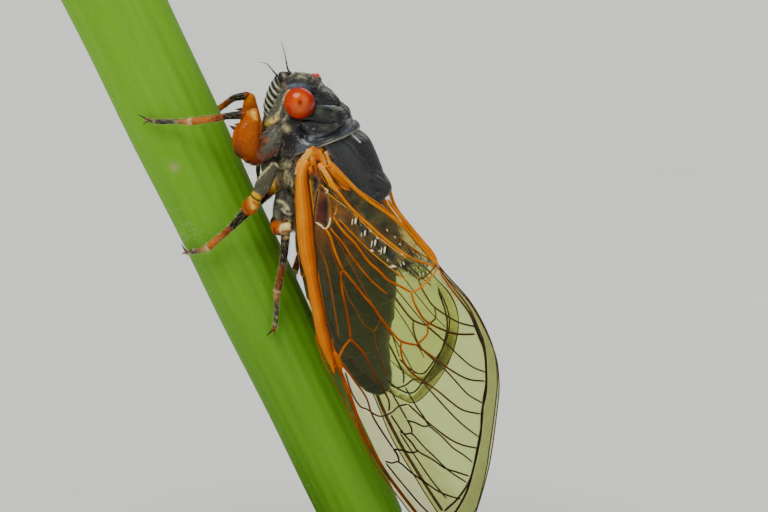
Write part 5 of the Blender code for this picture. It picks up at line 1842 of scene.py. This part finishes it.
def build_stem():
    top, foot = STEM_TOP, STEM_FOOT
    rows, sides = 420, 160
    t = np.linspace(0, 1, rows)
    path = foot + (top - foot) * t[:, None]
    radii = PERCH_RADII[1] + (PERCH_RADII[0] - PERCH_RADII[1]) * t + 0.05 * np.sin(t * 8 * 2.4)
    grid = tube_grid(path, radii, sides)
    length = np.linalg.norm(top - foot)
    angle = circle(sides)
    ribs = 0.025 * np.sin(angle * 23 + 0.6) + 0.02 * np.sin(angle * 11)
    centre = path[:, None]
    grid = centre + (grid - centre) * (1 + ribs[None, :, None] / radii[:, None, None])
    points = grid.reshape(-1, 3)
    faces = [grid_faces(rows, sides)]
    around = np.tile(angle, rows)
    up = np.repeat(t * length, sides)
    lie = np.stack([np.cos(around) * 4.0, np.sin(around) * 4.0, up * 0.06], 1) * MM
    # The second layer, lighter green towards the top of the stem, is painted light
    tint = painted(
        plain((0.125, 0.34, 0.008), points),
        (step(0.3, 1.0, np.repeat(t, sides)) * 0.8, (0.18, 0.46, 0.01)),
        (step(0.1, 1.0, waves(lie / MM, 1.1, 131)) * 0.14, (0.11, 0.28, 0.01)),
        (step(0.2, 1.0, waves(lie / MM, 0.4, 132)) * 0.1, (0.3, 0.54, 0.04)),
    )
    scar = view_spot(points, (174, 167), 5.0)
    tint = painted(tint, (scar * (0.3 + 0.5 * (waves(points, 0.5, 133) > 0.2)), (0.42, 0.36, 0.16)))
    core = np.repeat(path, sides, 0)
    swell = (0.05 * scar * waves(points, 0.6, 134) - 0.02 * scar)[:, None]
    points = points + (points - core) / np.repeat(radii, sides)[:, None] * swell
    faces, normal = outward(points, faces, points - core)
    piece("stem_bark", points, faces, "bark", "bark_green", ["perch_stem"], placed=True,
          tint=tint, lie=lie, dust=np.full(len(points), 0.05))
    along = (top - foot) / length
    parts = []
    for end, radius, way in ((top, radii[-1], 1), (foot, radii[0], -1)):
        rim = grid[-1] if way > 0 else grid[0]
        cap = np.array([
            end + (rim - end) * k + along * way * (-0.1 * (1 - k**6))
            for k in np.linspace(1, 0.02, CAP_RINGS)
        ])
        cap_points = np.vstack([cap.reshape(-1, 3), cap[-1].mean(0)])
        j = np.arange(sides)
        last = (CAP_RINGS - 1) * sides
        fan = np.stack([j + last, (j + 1) % sides + last, np.full(sides, CAP_RINGS * sides)], 1)
        cap_faces, _ = outward(cap_points, [grid_faces(CAP_RINGS, sides), fan], along * way)
        depth = np.linalg.norm(cap_points - end, axis=1) / radius
        cap_tint = painted(
            plain((0.5, 0.58, 0.3), cap_points),
            (step(0.86, 0.95, depth), (0.16, 0.36, 0.03)),
        )
        ring = bell(depth, 0.78, 0.05)
        cap_tint = painted(
            cap_tint,
            (ring * (0.4 + 0.5 * (waves(cap_points, 0.6, 135) > 0)), (0.22, 0.38, 0.08)),
            (step(0.45, 0.2, depth) * 0.6, (0.68, 0.7, 0.5)),
        )
        parts.append((cap_points, cap_faces, {"tint": cap_tint}))
    cap_points, cap_faces, values = joined(parts)
    piece("stem_ends", cap_points, cap_faces, "cut", "bark_green", placed=True, **values)
    mask = np.ones(len(points)) + 40 * view_spot(points, (197, 232), 14)
    picked = RNG.choice(len(points), STEM_HAIRS, replace=False, p=mask / mask.sum())
    way = normal[picked] + RNG.normal(size=(STEM_HAIRS, 3)) * 0.5 + along * 0.3
    unwrap = np.stack(
        [around[picked] / math.tau * 0.95 + 0.02, up[picked] / length * 0.95 + 0.02], 1,
    )
    hairs("stem_down", points[picked], way, RNG.uniform(0.2, 0.7, STEM_HAIRS), 0.008,
          plain((0.6, 0.72, 0.42), picked), unwrap, "bark_green", placed=True)


def view_spot(points, view, size):
    """1 at a side-view place on the near side of a placed shape, falling off within size units."""
    body = (points - BODY_AT) @ BODY_TURN
    return bell(np.linalg.norm(sighted(body) - view, axis=1), 0, size) * (body[:, 1] > 0)


def build_stand():
    profile = [(0.02, 0.0), (0.5, 0.0), (0.97, 0.0)]
    for a in (math.pi / 2 * k / 6 for k in range(7)):
        profile.append((1 - (FOOT_ROUND / BASE_RADIUS) * (1 - math.sin(a)),
                        (FOOT_ROUND / BASE_HEIGHT) * (1 - math.cos(a))))
    for a in (math.pi / 2 * k / 8 for k in range(9)):
        profile.append((1 - (TOP_ROUND / BASE_RADIUS) * (1 - math.cos(a)),
                        1 - (TOP_ROUND / BASE_HEIGHT) * (1 - math.sin(a))))
    profile += [(0.96, 1.0), (0.7, 1.0), (0.4, 1.0), (0.02, 1.0)]
    angle = circle(180)
    x, y = np.cos(angle) * BASE_RADIUS, np.sin(angle) * BASE_RADIUS
    grid = np.array([
        np.stack([x * r, y * r, np.full(len(angle), BASE_HEIGHT * h)], 1) for r, h in profile
    ])
    stand_solid("stand_plate", grid, (0, 0, 2), "board", "stand_grey", "stand_base",
                (0.055, 0.056, 0.06), 0.03)
    along = unit(STEM_TOP - STEM_FOOT)
    level = BASE_HEIGHT + 0.02
    high = STEM_FOOT + along * 0.05
    low = high - along * ((high[2] - level) / along[2])
    side = unit(np.cross(along, (0, 1, 0)))
    angle = circle(64)[:, None]
    ring = (np.cos(angle) * side + np.sin(angle) * np.cross(along, side)) * ROD_RADIUS
    rings = []
    for k in np.linspace(0, 1, 24):
        line = low + (high - low) * k + ring
        drop = (line[:, 2] - level) / along[2]
        rings.append(line - along * drop[:, None] * (1 - k))
    stand_solid("stand_post", np.array(rings), (low + high) / 2, "rod", "stand_rod_grey",
                "stand_rod", (0.12, 0.12, 0.125), 0.02)


def stand_solid(name, grid, middle, look, slot, node, tint, dust):
    """A closed solid of one colour with sharp edges, for the stand."""
    points, faces = capped(grid)
    faces, _ = outward(points, faces, points - middle)
    obj = piece(name, points, faces, look, slot, [node], placed=True,
                tint=plain(tint, points), dust=np.full(len(points), dust))
    obj.data.set_sharp_from_angle(angle=SHARP_ANGLE)


# Stage


def build_stage():
    data = bpy.data.cameras.new("camera")
    data.sensor_width = CAMERA_SENSOR
    data.lens = CAMERA_LENS
    data.clip_start, data.clip_end = 0.01, 40.0
    camera = shown("camera", data)
    camera.location = np.array(CAMERA_AT) * MM
    camera.rotation_euler = (math.radians(CAMERA_TILT), 0, 0)
    bpy.context.scene.camera = camera

    mesh = bpy.data.meshes.new("floor")
    corners = [(FLOOR_HALF * x, FLOOR_HALF * y, 0) for x, y in ((-1, -1), (1, -1), (1, 1), (-1, 1))]
    mesh.from_pydata(corners, [], [(0, 1, 2, 3)])
    floor = shown("floor", mesh)
    look, tree, shader = fresh("floor_pale")
    cloud = noise(tree, add(tree, "TexCoord").outputs["Object"], 60.0)
    cloud = ranged(tree, cloud, 0.3, 0.7, 0.0, 1.0)
    colour = mixed(tree, cloud, (0.82, 0.84, 0.8, 1), (0.86, 0.88, 0.84, 1))
    for key, value in (("Base Color", colour), ("Roughness", 0.9), ("Specular IOR Level", 0.1)):
        plug(tree, shader.inputs[key], value)
    mesh.materials.append(look)

    world = bpy.data.worlds.new("studio")
    world.use_nodes = True
    tree = world.node_tree
    way = add(tree, "TexCoord").outputs["Generated"]
    height = add(tree, "SeparateXYZ", {0: way}).outputs["Z"]
    height = ranged(tree, height, 0.0, 0.9, 0.0, 1.0)
    sky = tree.nodes["Background"].inputs
    plug(tree, sky["Color"], mixed(tree, height, (0.6, 0.62, 0.6, 1), (0.34, 0.36, 0.4, 1)))
    sky["Strength"].default_value = SKY_STRENGTH
    bpy.context.scene.world = world

    for name, place, wide, strength, colour in (
        ("key", (-0.45, -0.65, 1.25), 38, 3.0, (1.0, 0.98, 0.93)),
        ("fill", (0.9, -0.8, 0.5), 50, 0.6, (0.94, 0.97, 1.0)),
        ("back", (0.45, 1.0, 0.8), 35, 0.45, (1.0, 1.0, 0.95)),
    ):
        lamp = bpy.data.lights.new(name, "SUN")
        lamp.angle = math.radians(wide)
        lamp.energy = strength
        lamp.color = colour
        obj = shown(name, lamp)
        obj.location = LIGHT_AIM + Vector(place)
        obj.rotation_euler = (-Vector(place)).to_track_quat("-Z", "Y").to_euler()


build_stage()
build_stem()
build_stand()
build_head()
build_pronotum()
build_thorax()
build_abdomen()
for leg_name in ("front", "mid", "hind"):
    for side_name in ("left", "right"):
        build_leg(leg_name, side_name)
build_forewing()
build_hindwing()
build_hinges()
